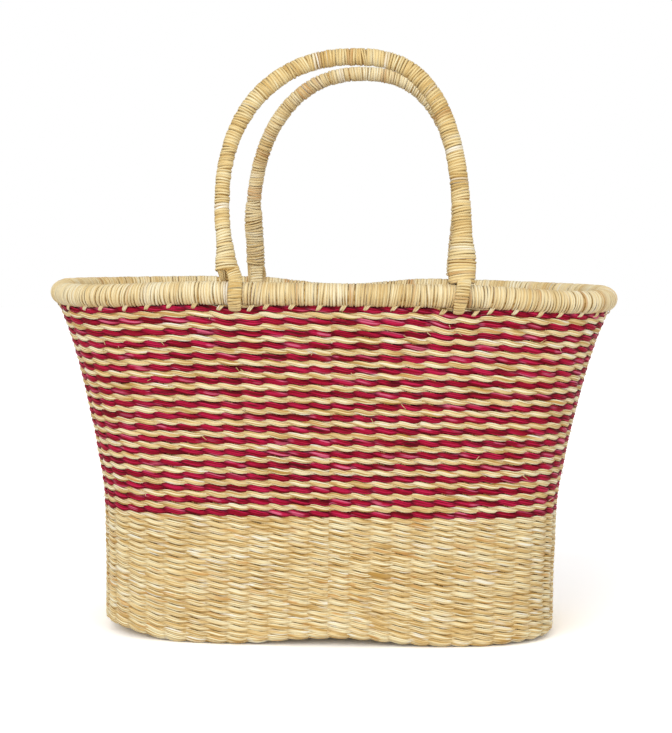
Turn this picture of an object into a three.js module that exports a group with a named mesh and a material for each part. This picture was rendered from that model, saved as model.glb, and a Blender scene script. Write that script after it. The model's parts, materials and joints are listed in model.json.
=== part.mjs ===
// A woven straw shopper with an oval base, a flared wall with red and natural courses,
// a bound rim and two carrying handles that swing on loops round the rim.
// Millimetres. X runs along the basket, -Y is its front, +Z is up, and the base stands on z = 0.

import * as THREE from 'three';

// Overall sizes
const rimWidth = 423;
const rimDepth = 214;
const rimDiameter = 16.8;
const rimAxisHeight = 252.4;
const footWidth = 337.4;
const footDepth = 182;
const cornerHeight = 9.5;
const cornerInset = 8;
const stripedBandBottom = 93.6;

// Layers of the woven wall and base
const weaveThickness = 2.2;
const stakeThickness = 1.6;
const stakeWidth = 3.2;
const layerClearance = 0.3;

// The oval's squareness at its foot and at its rim, where 2 is an ellipse
const footExponent = 3.2;
const rimExponent = 2.9;
const outlineSamples = 400;

// Stakes and courses
const crosswiseStakes = 22;
const lengthwiseStakes = 8;
const stripedCourses = 35;
const coursesPerPair = 2;
const courseClearance = 0.42;
const dippedCourses = 8;

// Rim
const rimBindingThickness = 2;
const rimSlotWidth = 3.4;
const rimSides = 8;

// Handles
const handleDiameter = 11.5;
const handleCrownHeight = 173;
const handleSpringGap = 4;
const handleSpringHalfSpan = 83;
const handleLean = THREE.MathUtils.degToRad(10.9);
const handleCoreDiameter = 6.4;
const handleStrandDiameter = 5.1;
const handleStrandGap = 0.7;
const handleFootGap = 4.95;
const strandExitLength = 1.6;
const handleLegBinding = 1.8;
const sleeveClearance = 0.35;
const loopWidth = 7.2;
const loopThickness = 3.2;
const loopClearance = 1.15;
const loopToWeaveClearance = 0.35;
const shortTailLength = 28;
const longTailLength = 40;
const tailTaperLength = 14;
const tailEndGap = 1.5;
const archSteps = 12;
const loopSteps = 9;

// Where the handles grip, in stake spacings along the front from its middle
const leftGripPitch = -4;
const rightGripPitch = 5;

// The dip of the courses below each grip: its flat part's side clearance, and where it ends in stake spacings
const dipSideClearance = 0.95;
const dipEndPitch = 1.45;

// The wall's profile: each level's height as a share of the wall's height, and its share of the full flare
const wallLevelShares = [
  { height: 0, flare: 0 },
  { height: 0.36, flare: 0.03 },
  { height: 0.59, flare: 0.25 },
  { height: 0.82, flare: 0.6 },
  { height: 1, flare: 1 },
];

// Colours of the straw
const finish = {
  red: { color: 0xa8182f, roughness: 0.62 },
  natural: { color: 0xd8bd84, roughness: 0.66 },
  stake: { color: 0xcdb078, roughness: 0.7 },
  binding: { color: 0xd3b57c, roughness: 0.6 },
  core: { color: 0xb89a63, roughness: 0.75 },
};

// Derived sizes of the wall
const rimRadius = rimDiameter / 2;
const rimFacetRadius = rimRadius * Math.cos(Math.PI / rimSides);
const rimAxisHalfWidth = rimWidth / 2 - rimFacetRadius;
const rimAxisHalfDepth = rimDepth / 2 - rimFacetRadius;
const wallThickness = 2 * weaveThickness + stakeThickness + 2 * layerClearance;
const wallTop = rimAxisHeight - rimFacetRadius - layerClearance;
const topHalfWidth = rimAxisHalfWidth + wallThickness / 2;
const topHalfDepth = rimAxisHalfDepth + wallThickness / 2;
const stakeInset = weaveThickness + layerClearance;
const innerWeaveInset = stakeInset + stakeThickness + layerClearance;
const coursePitch = (wallTop - stripedBandBottom) / stripedCourses;
const stakeCount = 2 * (crosswiseStakes + lengthwiseStakes);
const halfRound = stakeCount / 2;
const quarterRound = stakeCount / 4;

// Derived sizes of the handles
const loopRadius = rimRadius + loopClearance + loopThickness / 2;
const loopReach = loopRadius + loopThickness / 2;
const courseDip = wallTop - (rimAxisHeight - loopReach - loopToWeaveClearance);
const strandOffset = (handleStrandDiameter + handleStrandGap) / 2;
const handleBindingFoot = loopReach + handleFootGap;
const strandFoot = handleBindingFoot - strandExitLength;
const handleSpringHeight = handleBindingFoot + longTailLength + tailTaperLength + handleSpringGap;

// Corner chamfer between the wall and the base: its inward unit normal in (inset, height)
const chamferLength = Math.hypot(cornerInset, cornerHeight);
const chamferNormal = { inset: cornerHeight / chamferLength, height: cornerInset / chamferLength };
const wallFootHeight = (depth) => cornerHeight + (depth * (1 - chamferNormal.inset)) / chamferNormal.height;
const baseEdgeInset = (depth) => cornerInset + (depth * (1 - chamferNormal.height)) / chamferNormal.inset;

// Point of a quarter of the oval, for an angle from the front middle towards the right end
function ovalQuarterPoint(angle, halfWidth, halfDepth, exponent) {
  const power = 2 / exponent;
  return new THREE.Vector2(
    halfWidth * Math.pow(Math.max(Math.sin(angle), 0), power),
    -halfDepth * Math.pow(Math.max(Math.cos(angle), 0), power),
  );
}

// Angles at which the quarter oval has run each stake spacing, found by measuring along it
function measureQuarter() {
  const angles = [];
  const lengths = [];
  let run = 0;
  let previous = null;
  for (let sample = 0; sample <= outlineSamples; sample += 1) {
    const angle = ((sample / outlineSamples) * Math.PI) / 2;
    const point = ovalQuarterPoint(angle, topHalfWidth, topHalfDepth, rimExponent);
    run += previous ? point.distanceTo(previous) : 0;
    previous = point;
    angles.push(angle);
    lengths.push(run);
  }
  return { angles, lengths, total: run };
}

const quarter = measureQuarter();
const rimStakePitch = quarter.total / quarterRound;
const dipFlatPitch = (strandOffset + loopWidth / 2 + dipSideClearance) / rimStakePitch;

// Point of the whole oval at a number of stake spacings from the front middle, counted to the right
function ovalPoint(pitch, flare) {
  const wrapped = THREE.MathUtils.euclideanModulo(pitch, stakeCount);
  const fromFront = wrapped > halfRound ? stakeCount - wrapped : wrapped;
  const inQuarter = fromFront > quarterRound ? halfRound - fromFront : fromFront;
  const target = (inQuarter / quarterRound) * quarter.total;
  const reached = quarter.lengths.findIndex((length) => length >= target * (1 - Number.EPSILON));
  const upper = Math.max(1, reached);
  const along = (target - quarter.lengths[upper - 1]) / (quarter.lengths[upper] - quarter.lengths[upper - 1]);
  const angle = THREE.MathUtils.lerp(quarter.angles[upper - 1], quarter.angles[upper], along);
  const point = ovalQuarterPoint(
    angle,
    THREE.MathUtils.lerp(footWidth / 2, topHalfWidth, flare),
    THREE.MathUtils.lerp(footDepth / 2, topHalfDepth, flare),
    THREE.MathUtils.lerp(footExponent, rimExponent, flare),
  );
  point.x *= wrapped > halfRound ? -1 : 1;
  point.y *= fromFront > quarterRound ? -1 : 1;
  return point;
}

// Stations round the oval, in stake spacings: close at each grip, wide along the straight sides
const gripStations = [leftGripPitch, rightGripPitch].flatMap((grip) => [
  grip - dipEndPitch,
  grip - dipFlatPitch,
  grip + dipFlatPitch,
  grip + dipEndPitch,
]);
const endStationShares = [0.6, 0.7333, 0.8667, 1, 1.1333, 1.2667, 1.4];
const rightEndStations = endStationShares.map((share) => share * quarterRound);
const leftEndStations = rightEndStations.map((station) => station + halfRound);
const rearStations = gripStations.map((station) => halfRound - station).reverse();
const stations = [...gripStations, ...rightEndStations, ...rearStations, ...leftEndStations];
const gripsRound = [leftGripPitch, rightGripPitch, halfRound - leftGripPitch, halfRound - rightGripPitch];

// How far the courses are pushed down at a station: in full at a grip, and fading beside it
function dipShare(station) {
  const shares = gripsRound.map((grip) => {
    const away = Math.abs(THREE.MathUtils.euclideanModulo(station - grip + halfRound, stakeCount) - halfRound);
    return THREE.MathUtils.clamp((dipEndPitch - away) / (dipEndPitch - dipFlatPitch), 0, 1);
  });
  return Math.max(...shares);
}

// Moves a counter-clockwise outline inwards by one depth, with mitred corners
function insetOutline(points, depth) {
  const normals = points.map((point, i) => {
    const next = points[(i + 1) % points.length];
    return new THREE.Vector2(point.y - next.y, next.x - point.x).normalize();
  });
  return points.map((point, i) => {
    const before = normals[(i + points.length - 1) % points.length];
    const after = normals[i];
    const scale = depth / (1 + before.dot(after));
    return point.clone().addScaledVector(before, scale).addScaledVector(after, scale);
  });
}

// The wall's outline at a level, a depth inside its outer face
const outlineCache = new Map();
function levelOutline(level, depth) {
  const key = `${level}:${depth}`;
  if (!outlineCache.has(key)) {
    const outline = stations.map((station) => ovalPoint(station, wallLevelShares[level].flare));
    outlineCache.set(key, insetOutline(outline, depth));
  }
  return outlineCache.get(key);
}

const levelHeight = (level) => THREE.MathUtils.lerp(cornerHeight, wallTop, wallLevelShares[level].height);

// Outline at any height of the wall
function wallOutline(height, depth) {
  let level = 1;
  while (level < wallLevelShares.length - 1 && levelHeight(level) < height) {
    level += 1;
  }
  const share = (height - levelHeight(level - 1)) / (levelHeight(level) - levelHeight(level - 1));
  const lower = levelOutline(level - 1, depth);
  const upper = levelOutline(level, depth);
  return lower.map((point, i) => point.clone().lerp(upper[i], share));
}

// Point on an outline between its stations
function outlinePoint(outline, pitch) {
  const first = stations[0];
  const wrapped = first + THREE.MathUtils.euclideanModulo(pitch - first, stakeCount);
  let index = stations.length - 1;
  while (stations[index] > wrapped) {
    index -= 1;
  }
  const next = (index + 1) % stations.length;
  const end = next === 0 ? first + stakeCount : stations[next];
  const share = (wrapped - stations[index]) / (end - stations[index]);
  const point = outline[index].clone().lerp(outline[next], share);
  const normal = new THREE.Vector2(
    outline[index].y - outline[next].y,
    outline[next].x - outline[index].x,
  ).normalize();
  return { point, normal };
}

const lift = (point, height) => new THREE.Vector3(point.x, point.y, height);

// Closed body through a row of rings with equal counts of points; open rows get flat end caps
function loft(rings, closed = false) {
  const count = rings[0].length;
  const positions = rings.flat().flatMap((point) => [point.x, point.y, point.z]);
  const index = [];
  const spans = closed ? rings.length : rings.length - 1;
  for (let ring = 0; ring < spans; ring += 1) {
    const next = (ring + 1) % rings.length;
    for (let side = 0; side < count; side += 1) {
      const across = (side + 1) % count;
      const a = ring * count + side;
      const b = ring * count + across;
      const c = next * count + across;
      const d = next * count + side;
      index.push(a, b, c, a, c, d);
    }
  }
  if (!closed) {
    const last = (rings.length - 1) * count;
    for (let side = 1; side < count - 1; side += 1) {
      index.push(0, side + 1, side);
      index.push(last, last + side, last + side + 1);
    }
  }
  const geometry = new THREE.BufferGeometry();
  geometry.setAttribute('position', new THREE.Float32BufferAttribute(positions, 3));
  geometry.setIndex(enclosedVolume(rings, index, count) < 0 ? flipped(index) : index);
  geometry.computeVertexNormals();
  return geometry;
}

// Six times the signed volume inside a list of triangles
function enclosedVolume(rings, index, count) {
  const at = (corner) => rings[Math.floor(corner / count)][corner % count];
  let volume = 0;
  for (let i = 0; i < index.length; i += 3) {
    volume += at(index[i]).dot(at(index[i + 1]).clone().cross(at(index[i + 2])));
  }
  return volume;
}

function flipped(index) {
  const result = [];
  for (let i = 0; i < index.length; i += 3) {
    result.push(index[i], index[i + 2], index[i + 1]);
  }
  return result;
}

function mesh(name, geometry, look) {
  const result = new THREE.Mesh(geometry, new THREE.MeshStandardMaterial({ ...look, metalness: 0 }));
  result.name = name;
  return result;
}

// Outer weave of the natural band, with the turned corner that the basket stands on
function lowerBandGeometry() {
  const top = stripedBandBottom - courseClearance;
  const outer = [
    { height: top, depth: 0 },
    { height: levelHeight(0), depth: 0 },
  ];
  const inner = [
    { height: wallFootHeight(weaveThickness), depth: weaveThickness },
    { height: top, depth: weaveThickness },
  ];
  const foot = [
    { height: 0, depth: baseEdgeInset(0) },
    { height: weaveThickness, depth: baseEdgeInset(weaveThickness) },
  ];
  const rings = [
    ...outer.map(({ height, depth }) => wallOutline(height, depth).map((point) => lift(point, height))),
    ...foot.map(({ height, depth }) => levelOutline(0, depth).map((point) => lift(point, height))),
    ...inner.map(({ height, depth }) => wallOutline(height, depth).map((point) => lift(point, height))),
  ];
  return loft(rings, true);
}

// Inner face of the weave, from just above the base to the rim
function innerWallGeometry() {
  const outerDepth = innerWeaveInset;
  const innerDepth = innerWeaveInset + weaveThickness;
  const middle = wallLevelShares.map((_, level) => levelHeight(level)).slice(1, -1);
  const topRing = (depth) => stations.map((station, i) => {
    const height = wallTop - dipShare(station) * courseDip;
    return lift(wallOutline(height, depth)[i], height);
  });
  const levelRing = (height, depth) => wallOutline(height, depth).map((point) => lift(point, height));
  const face = (depth) => [
    ...[wallFootHeight(depth), ...middle].map((height) => levelRing(height, depth)),
    topRing(depth),
  ];
  return loft([...face(outerDepth), ...face(innerDepth).reverse()], true);
}

// A flat woven sheet of the base between two heights, its edge a depth inside the foot's outline
function baseSheetGeometry(bottom, bottomInset, topInset) {
  const rings = [
    levelOutline(0, bottomInset).map((point) => lift(point, bottom)),
    levelOutline(0, topInset).map((point) => lift(point, bottom + weaveThickness)),
  ];
  return loft(rings);
}

// Height of the edge above a number of courses at a station, pushed down near the grips
function courseEdge(courses, station) {
  const dipped = Math.max(0, (courses - (stripedCourses - dippedCourses)) / dippedCourses);
  return stripedBandBottom + courses * coursePitch - dipped * dipShare(station) * courseDip;
}

// One unbroken strand wound round the wall, two courses up on each turn, at the seam behind the left end
const seamStation = stations.length - endStationShares.length;
function windingRings(firstCourse, turns) {
  const rings = [];
  for (let turn = 0; turn < turns; turn += 1) {
    const course = firstCourse + turn * coursesPerPair;
    for (let step = 0; step < stations.length; step += 1) {
      const i = (seamStation + step) % stations.length;
      const bottom = courseEdge(course, stations[i]) + courseClearance / 2;
      const top = courseEdge(course + 1, stations[i]) - courseClearance / 2;
      const ridge = (bottom + top) / 2;
      rings.push([
        lift(wallOutline(bottom, weaveThickness)[i], bottom),
        lift(wallOutline(top, weaveThickness)[i], top),
        lift(wallOutline(ridge, 0)[i], ridge),
      ]);
    }
  }
  return rings;
}

// Least gap between neighbouring turns of a winding, measured on its rings
function leastTurnGap(rings) {
  let least = Infinity;
  for (let ring = stations.length; ring < rings.length; ring += 1) {
    const lower = rings[ring - stations.length];
    const upper = rings[ring];
    for (const high of upper) {
      for (const low of lower) {
        least = Math.min(least, high.distanceTo(low));
      }
    }
  }
  return least;
}

// Flat straw strip through stations that each give a centre, a width direction and a face normal
function stripGeometry(path) {
  return loft(path.map(({ centre, across, normal }) => {
    const side = across.clone().multiplyScalar(stakeWidth / 2);
    const face = normal.clone().multiplyScalar(stakeThickness / 2);
    return [
      centre.clone().add(side).add(face),
      centre.clone().sub(side).add(face),
      centre.clone().sub(side).sub(face),
      centre.clone().add(side).sub(face),
    ];
  }));
}

// Stations of a stake from the rim down the wall and round the corner
function stakeLeg(pitch) {
  const depth = stakeInset + stakeThickness / 2;
  const top = rimAxisHeight - (rimRadius - rimBindingThickness) - layerClearance;
  const heights = wallLevelShares.map((_, level) => levelHeight(level)).slice(1, -1).reverse();
  const at = (height, outline) => {
    const { point, normal } = outlinePoint(outline, pitch);
    return {
      centre: lift(point, height),
      across: new THREE.Vector3(normal.y, -normal.x, 0),
      normal: new THREE.Vector3(normal.x, normal.y, 0),
    };
  };
  const leg = [top, ...heights, wallFootHeight(depth)].map((height) => at(height, wallOutline(height, depth)));
  const turn = at(depth, levelOutline(0, baseEdgeInset(depth)));
  return { leg, turn };
}

// A stake laid across the base and up both walls; the second layer of the base steps over the first
function stakeGeometry(pitch, oppositePitch, layer, levelReach) {
  const near = stakeLeg(pitch);
  const far = stakeLeg(oppositePitch);
  const up = new THREE.Vector3(0, 0, 1);
  const rise = layer * (stakeThickness + layerClearance);
  const direction = far.turn.centre.clone().sub(near.turn.centre).normalize();
  const across = new THREE.Vector3(-direction.y, direction.x, 0);
  const chamferUp = (inward) => new THREE.Vector3(
    inward.x * chamferNormal.inset,
    inward.y * chamferNormal.inset,
    chamferNormal.height,
  );
  const corner = (leg) => leg.leg.map((entry, i) => {
    const last = i === leg.leg.length - 1;
    return last ? { ...entry, normal: entry.normal.clone().add(chamferUp(entry.normal)).normalize() } : entry;
  });
  const turned = (leg) => ({
    ...leg.turn,
    normal: chamferUp(leg.turn.normal).add(up).normalize(),
  });
  const flip = (entry) => ({ ...entry, across: entry.across.clone().negate() });
  const middle = [];
  if (layer > 0) {
    const length = near.turn.centre.distanceTo(far.turn.centre);
    for (const run of [levelReach, length - levelReach]) {
      const centre = near.turn.centre.clone().addScaledVector(direction, run);
      middle.push({ centre: centre.setZ(centre.z + rise), across, normal: up });
    }
  }
  const path = [
    ...corner(near),
    turned(near),
    ...middle.map((entry) => (entry.across.dot(near.turn.across) < 0 ? flip(entry) : entry)),
    flip(turned(far)),
    ...corner(far).reverse().map(flip),
  ];
  return stripGeometry(path);
}

// Rim: a closed bundle of straw ends and its binding, which leaves a slot below for the stakes
function rimAxis() {
  const outline = stations.map((station) => ovalPoint(station, 1));
  return insetOutline(outline, wallThickness / 2);
}

function rimRings(section) {
  const axis = rimAxis();
  return axis.map((point, i) => {
    const before = axis[(i + axis.length - 1) % axis.length];
    const after = axis[(i + 1) % axis.length];
    const incoming = point.clone().sub(before).normalize();
    const outgoing = after.clone().sub(point).normalize();
    const bisector = incoming.clone().add(outgoing).normalize();
    const mitre = 1 / bisector.dot(outgoing);
    const outward = new THREE.Vector2(bisector.y, -bisector.x).multiplyScalar(mitre);
    return section.map(([out, up]) => lift(point.clone().addScaledVector(outward, out), rimAxisHeight + up));
  });
}

function octagon(radius) {
  const corners = [];
  for (let side = 0; side < rimSides; side += 1) {
    const angle = ((side + 0.5) / rimSides) * 2 * Math.PI - Math.PI / 2;
    corners.push([radius * Math.cos(angle), radius * Math.sin(angle)]);
  }
  return corners;
}

function rimCoreGeometry() {
  return loft(rimRings(octagon(rimRadius - rimBindingThickness - layerClearance)), true);
}

function rimBindingGeometry() {
  const lip = rimSlotWidth / 2;
  const outerBottom = -rimFacetRadius;
  const innerBottom = -(rimRadius - rimBindingThickness) * Math.cos(Math.PI / rimSides);
  const outer = [[lip, outerBottom], ...octagon(rimRadius), [-lip, outerBottom]];
  const inner = [[lip, innerBottom], ...octagon(rimRadius - rimBindingThickness), [-lip, innerBottom]];
  return loft(rimRings([...outer, ...inner.reverse()]), true);
}

// Eight-sided section in its own plane: half its width and half its thickness, with cut corners
function roundedSection(halfWidth, halfThickness) {
  const flat = halfThickness * Math.tan(Math.PI / rimSides);
  const shoulder = halfWidth - (halfThickness - flat);
  return [
    [halfWidth, flat],
    [shoulder, halfThickness],
    [-shoulder, halfThickness],
    [-halfWidth, flat],
    [-halfWidth, -flat],
    [-shoulder, -halfThickness],
    [shoulder, -halfThickness],
    [halfWidth, -flat],
  ];
}

// A handle's own frame: x along the rim between its grips, -y outwards, z up from the rim's axis
const outward = new THREE.Vector3(0, -1, 0);

// Half the distance between the legs, which bow out a little towards the spring of the arch
function legHalfSpan(halfSpan, height) {
  const bow = (height - handleBindingFoot) / (handleSpringHeight - handleBindingFoot);
  return THREE.MathUtils.lerp(halfSpan, handleSpringHalfSpan, bow);
}

// The arch in its plane, from a foot height on one side to the other
function archCentreLine(halfSpan, tailLengths, foot) {
  const legs = [-1, 1].map((side, which) => {
    const tailTop = handleBindingFoot + tailLengths[which];
    const heights = [foot, tailTop, tailTop + tailTaperLength];
    return heights.map((height, i) => ({
      x: side * legHalfSpan(halfSpan, height),
      z: height,
      double: i < 2 ? 1 : 0,
    }));
  });
  const arch = [];
  const rise = handleCrownHeight - handleSpringHeight;
  for (let step = 0; step <= archSteps; step += 1) {
    const angle = (step / archSteps) * Math.PI;
    arch.push({
      x: -handleSpringHalfSpan * Math.cos(angle),
      z: handleSpringHeight + rise * Math.sin(angle),
      double: 0,
    });
  }
  return [...legs[0], ...arch, ...legs[1].reverse()];
}

// Places sections along a path; a loop's section keeps its width along x, the arch's its thickness along y
function sweptRings(path, sectionOf) {
  return path.map((entry, i) => {
    const before = path[Math.max(i - 1, 0)].at;
    const after = path[Math.min(i + 1, path.length - 1)].at;
    const tangent = after.clone().sub(before).normalize();
    let width;
    let depth;
    if (entry.loop) {
      width = new THREE.Vector3(-entry.side, 0, 0);
      width.addScaledVector(tangent, -width.dot(tangent)).normalize();
      depth = tangent.clone().cross(width);
    } else {
      depth = outward.clone().negate();
      width = depth.clone().cross(tangent).normalize();
    }
    return sectionOf(entry).map(([across, through]) => entry.at.clone()
      .addScaledVector(width, across)
      .addScaledVector(depth, through));
  });
}

// Flattened turn of the core round the rim at one grip, from its tail to its outer side
function loopPath(halfSpan, side, tailLength) {
  const centre = side * halfSpan;
  const leave = Math.acos(loopRadius / strandFoot);
  const tailTop = handleBindingFoot + tailLength - tailEndGap;
  const path = [tailTop, strandFoot].map((height) => ({
    at: new THREE.Vector3(side * legHalfSpan(halfSpan, height) - strandOffset, 0, height),
    loop: true,
    side,
    flat: 0,
    strand: 1,
  }));
  for (let step = 0; step <= loopSteps; step += 1) {
    const share = step / loopSteps;
    const angle = -leave - share * 2 * (Math.PI - leave);
    path.push({
      at: new THREE.Vector3(
        centre + THREE.MathUtils.lerp(-strandOffset, strandOffset, share),
        -loopRadius * Math.sin(angle),
        loopRadius * Math.cos(angle),
      ),
      loop: true,
      side,
      flat: 1,
      strand: 1,
    });
  }
  return path;
}

function coreGeometry(halfSpan, tailLengths) {
  const left = loopPath(halfSpan, -1, tailLengths[0]);
  const right = loopPath(halfSpan, 1, tailLengths[1]).reverse();
  const arch = archCentreLine(halfSpan, tailLengths, strandFoot).map((entry) => ({
    at: new THREE.Vector3(entry.x + entry.double * strandOffset, 0, entry.z),
    loop: false,
    flat: 0,
    strand: entry.double,
  }));
  const section = ({ flat, strand }) => {
    if (flat) {
      return roundedSection(loopWidth / 2, loopThickness / 2);
    }
    const diameter = strand ? handleStrandDiameter : handleCoreDiameter;
    return roundedSection(diameter / 2, diameter / 2);
  };
  return loft(sweptRings([...left, ...arch, ...right], section));
}

function handleBindingGeometry(halfSpan, tailLengths) {
  const path = archCentreLine(halfSpan, tailLengths, handleBindingFoot).map((entry) => ({
    at: new THREE.Vector3(entry.x, 0, entry.z),
    loop: false,
    double: entry.double,
  }));
  const boreSection = ({ double }) => (double
    ? roundedSection(
      strandOffset + handleStrandDiameter / 2 + sleeveClearance,
      handleStrandDiameter / 2 + sleeveClearance,
    )
    : roundedSection(handleCoreDiameter / 2 + sleeveClearance, handleCoreDiameter / 2 + sleeveClearance));
  const outerSection = ({ double }) => (double
    ? roundedSection(
      strandOffset + handleStrandDiameter / 2 + sleeveClearance + handleLegBinding,
      handleStrandDiameter / 2 + sleeveClearance + handleLegBinding,
    )
    : roundedSection(handleDiameter / 2, handleDiameter / 2));
  const outer = sweptRings(path, outerSection);
  const bore = sweptRings(path, boreSection);
  return loft([...outer, ...bore.reverse()], true);
}

// A handle hung on the rim between its two grips and leaning in over the basket
function handleGroup(name, grips) {
  const outline = rimAxis();
  const [near, far] = grips.map((pitch) => outlinePoint(outline, pitch).point);
  const middle = near.clone().add(far).divideScalar(2);
  const span = far.clone().sub(near);
  const tailLengths = [shortTailLength, longTailLength];
  const swing = new THREE.Group();
  swing.add(mesh(`${name}_core`, coreGeometry(span.length() / 2, tailLengths), finish.core));
  swing.add(mesh(`${name}_binding`, handleBindingGeometry(span.length() / 2, tailLengths), finish.binding));
  swing.rotation.x = -handleLean;
  const holder = new THREE.Group();
  holder.add(swing);
  holder.position.set(middle.x, middle.y, rimAxisHeight);
  holder.rotation.z = Math.atan2(span.y, span.x);
  return holder;
}

// The basket
const basket = new THREE.Group();

basket.add(mesh('base_weave_under', baseSheetGeometry(
  0,
  baseEdgeInset(0) + layerClearance / chamferNormal.inset,
  baseEdgeInset(weaveThickness) + layerClearance / chamferNormal.inset,
), finish.natural));

const innerSheetHeight = stakeInset + 2 * (stakeThickness + layerClearance);
const innerSheetInset = baseEdgeInset(innerWeaveInset);
basket.add(mesh('base_weave_inside', baseSheetGeometry(
  innerSheetHeight,
  innerSheetInset,
  innerSheetInset,
), finish.natural));

basket.add(mesh('lower_band_weave', lowerBandGeometry(), finish.natural));
basket.add(mesh('inner_wall_weave', innerWallGeometry(), finish.natural));

const redRings = windingRings(0, Math.ceil(stripedCourses / coursesPerPair));
const naturalRings = windingRings(1, Math.floor(stripedCourses / coursesPerPair));
basket.add(mesh('red_course_winding', loft(redRings), finish.red));
basket.add(mesh('natural_course_winding', loft(naturalRings), finish.natural));

// Stakes stand between the stations' whole numbers, half a spacing off the middle of each side
const crosswisePerSide = crosswiseStakes / 2;
for (let stake = 0; stake < crosswiseStakes; stake += 1) {
  const pitch = stake - crosswisePerSide + 0.5;
  basket.add(mesh(
    `crosswise_stake_${String(stake + 1).padStart(2, '0')}`,
    stakeGeometry(pitch, halfRound - pitch, 0, 0),
    finish.stake,
  ));
}
const outermostCrosswise = stakeLeg(crosswisePerSide - 0.5).turn.centre.x + stakeWidth;
for (let stake = 0; stake < lengthwiseStakes; stake += 1) {
  const pitch = quarterRound - lengthwiseStakes / 2 + 0.5 + stake;
  const reach = stakeLeg(pitch).turn.centre.x - outermostCrosswise;
  basket.add(mesh(
    `lengthwise_stake_${stake + 1}`,
    stakeGeometry(pitch, stakeCount - pitch, 1, reach),
    finish.stake,
  ));
}

basket.add(mesh('rim_core', rimCoreGeometry(), finish.core));
basket.add(mesh('rim_binding', rimBindingGeometry(), finish.binding));

basket.add(handleGroup('front_handle', [leftGripPitch, rightGripPitch]));
basket.add(handleGroup('rear_handle', [halfRound - rightGripPitch, halfRound - leftGripPitch]));

const leastGaps = [redRings, naturalRings].map((rings) => `${leastTurnGap(rings).toFixed(2)} mm`);
console.log(`least gap between turns of the red and natural windings: ${leastGaps.join(', ')}`);

export default basket;
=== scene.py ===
"""Looks of an oval straw shopper: twined wall, bound rim and two wound handles.

Everything is in metres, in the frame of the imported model: x along the basket, -y its front, +z up.
A place on the weave is given by its pitch, which counts stakes round the oval from the front middle
towards the right end, and its climb, the length run up the weave from the edge of the base.
"""

import json
import logging
import math
from dataclasses import dataclass, field, replace
from enum import Enum

import bmesh
import bpy
import numpy as np
from mathutils import Matrix, Vector


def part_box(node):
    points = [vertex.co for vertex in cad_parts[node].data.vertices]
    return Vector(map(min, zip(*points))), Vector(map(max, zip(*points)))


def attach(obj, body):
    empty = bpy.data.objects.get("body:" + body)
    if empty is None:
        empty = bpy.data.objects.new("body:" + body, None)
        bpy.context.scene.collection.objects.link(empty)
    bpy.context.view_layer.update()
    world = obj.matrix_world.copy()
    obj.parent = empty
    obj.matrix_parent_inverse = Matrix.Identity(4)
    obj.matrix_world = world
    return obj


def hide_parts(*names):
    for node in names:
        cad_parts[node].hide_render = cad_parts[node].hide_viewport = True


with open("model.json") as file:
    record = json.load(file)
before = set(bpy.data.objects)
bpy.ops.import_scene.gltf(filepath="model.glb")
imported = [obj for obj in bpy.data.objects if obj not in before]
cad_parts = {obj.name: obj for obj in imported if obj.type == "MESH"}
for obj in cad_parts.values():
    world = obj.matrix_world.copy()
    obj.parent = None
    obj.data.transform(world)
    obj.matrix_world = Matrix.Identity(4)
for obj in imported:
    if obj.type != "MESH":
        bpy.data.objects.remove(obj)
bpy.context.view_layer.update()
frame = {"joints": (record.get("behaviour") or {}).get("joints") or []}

LOG = logging.getLogger("basket")
MM = 0.001
TURN = 2 * math.pi
QUARTER_TURN = math.pi / 2
SEED = 41
UV_NAME = "straw"
UV_INSET = 0.001
RIM_GAP = 0.3 * MM

Span = tuple[float, float]


class Body(Enum):
    """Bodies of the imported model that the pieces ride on."""

    BASKET = "basket"
    FRONT = "front_handle"
    REAR = "rear_handle"


class Slot(Enum):
    """Material slots of the record."""

    NATURAL = "natural_straw"
    RED = "red_straw"
    STAKE = "stake_straw"
    BINDING = "binding_straw"
    CORE = "core_straw"


def smooth_step(low: float, high: float, value: np.ndarray) -> np.ndarray:
    """Rises smoothly from 0 at low to 1 at high.

    Args:
        low: Where the rise starts.
        high: Where it ends.
        value: Places to evaluate.

    Returns:
        The share at each place.
    """
    share = np.clip((value - low) / (high - low), 0, 1)
    return share * share * (3 - 2 * share)


def wander(rng: np.random.Generator, place: np.ndarray, period: int) -> np.ndarray:
    """Random curve through one value for each whole number, closed over its period.

    Args:
        rng: Source of the values.
        place: Places along the curve.
        period: Count of values before the curve repeats.

    Returns:
        The curve at each place, between -1 and 1.
    """
    values = rng.uniform(-1, 1, period)
    low = np.floor(place).astype(int)
    share = smooth_step(0, 1, place - low)
    return values[low % period] * (1 - share) + values[(low + 1) % period] * share


def wrapped(value: np.ndarray, period: float) -> np.ndarray:
    """Takes whole periods off, so that what is left lies within half a period of zero."""
    return np.mod(value + period / 2, period) - period / 2


def unit(vectors: np.ndarray) -> np.ndarray:
    """Scales each row to length one."""
    return vectors / np.linalg.norm(vectors, axis=-1, keepdims=True)


def run_along(line: np.ndarray) -> np.ndarray:
    """Finds the length run from a line's start to each of its points."""
    return np.concatenate([[0], np.cumsum(np.linalg.norm(np.diff(line, axis=0), axis=1))])


def spread_evenly(line: np.ndarray, count: int) -> np.ndarray:
    """Lays points along a line at even spacing.

    Args:
        line: Points of the line.
        count: How many points are laid.

    Returns:
        The points.
    """
    run = run_along(line)
    spots = np.linspace(0, run[-1], count)
    return np.stack([np.interp(spots, run, line[:, k]) for k in range(3)], axis=-1)


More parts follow.
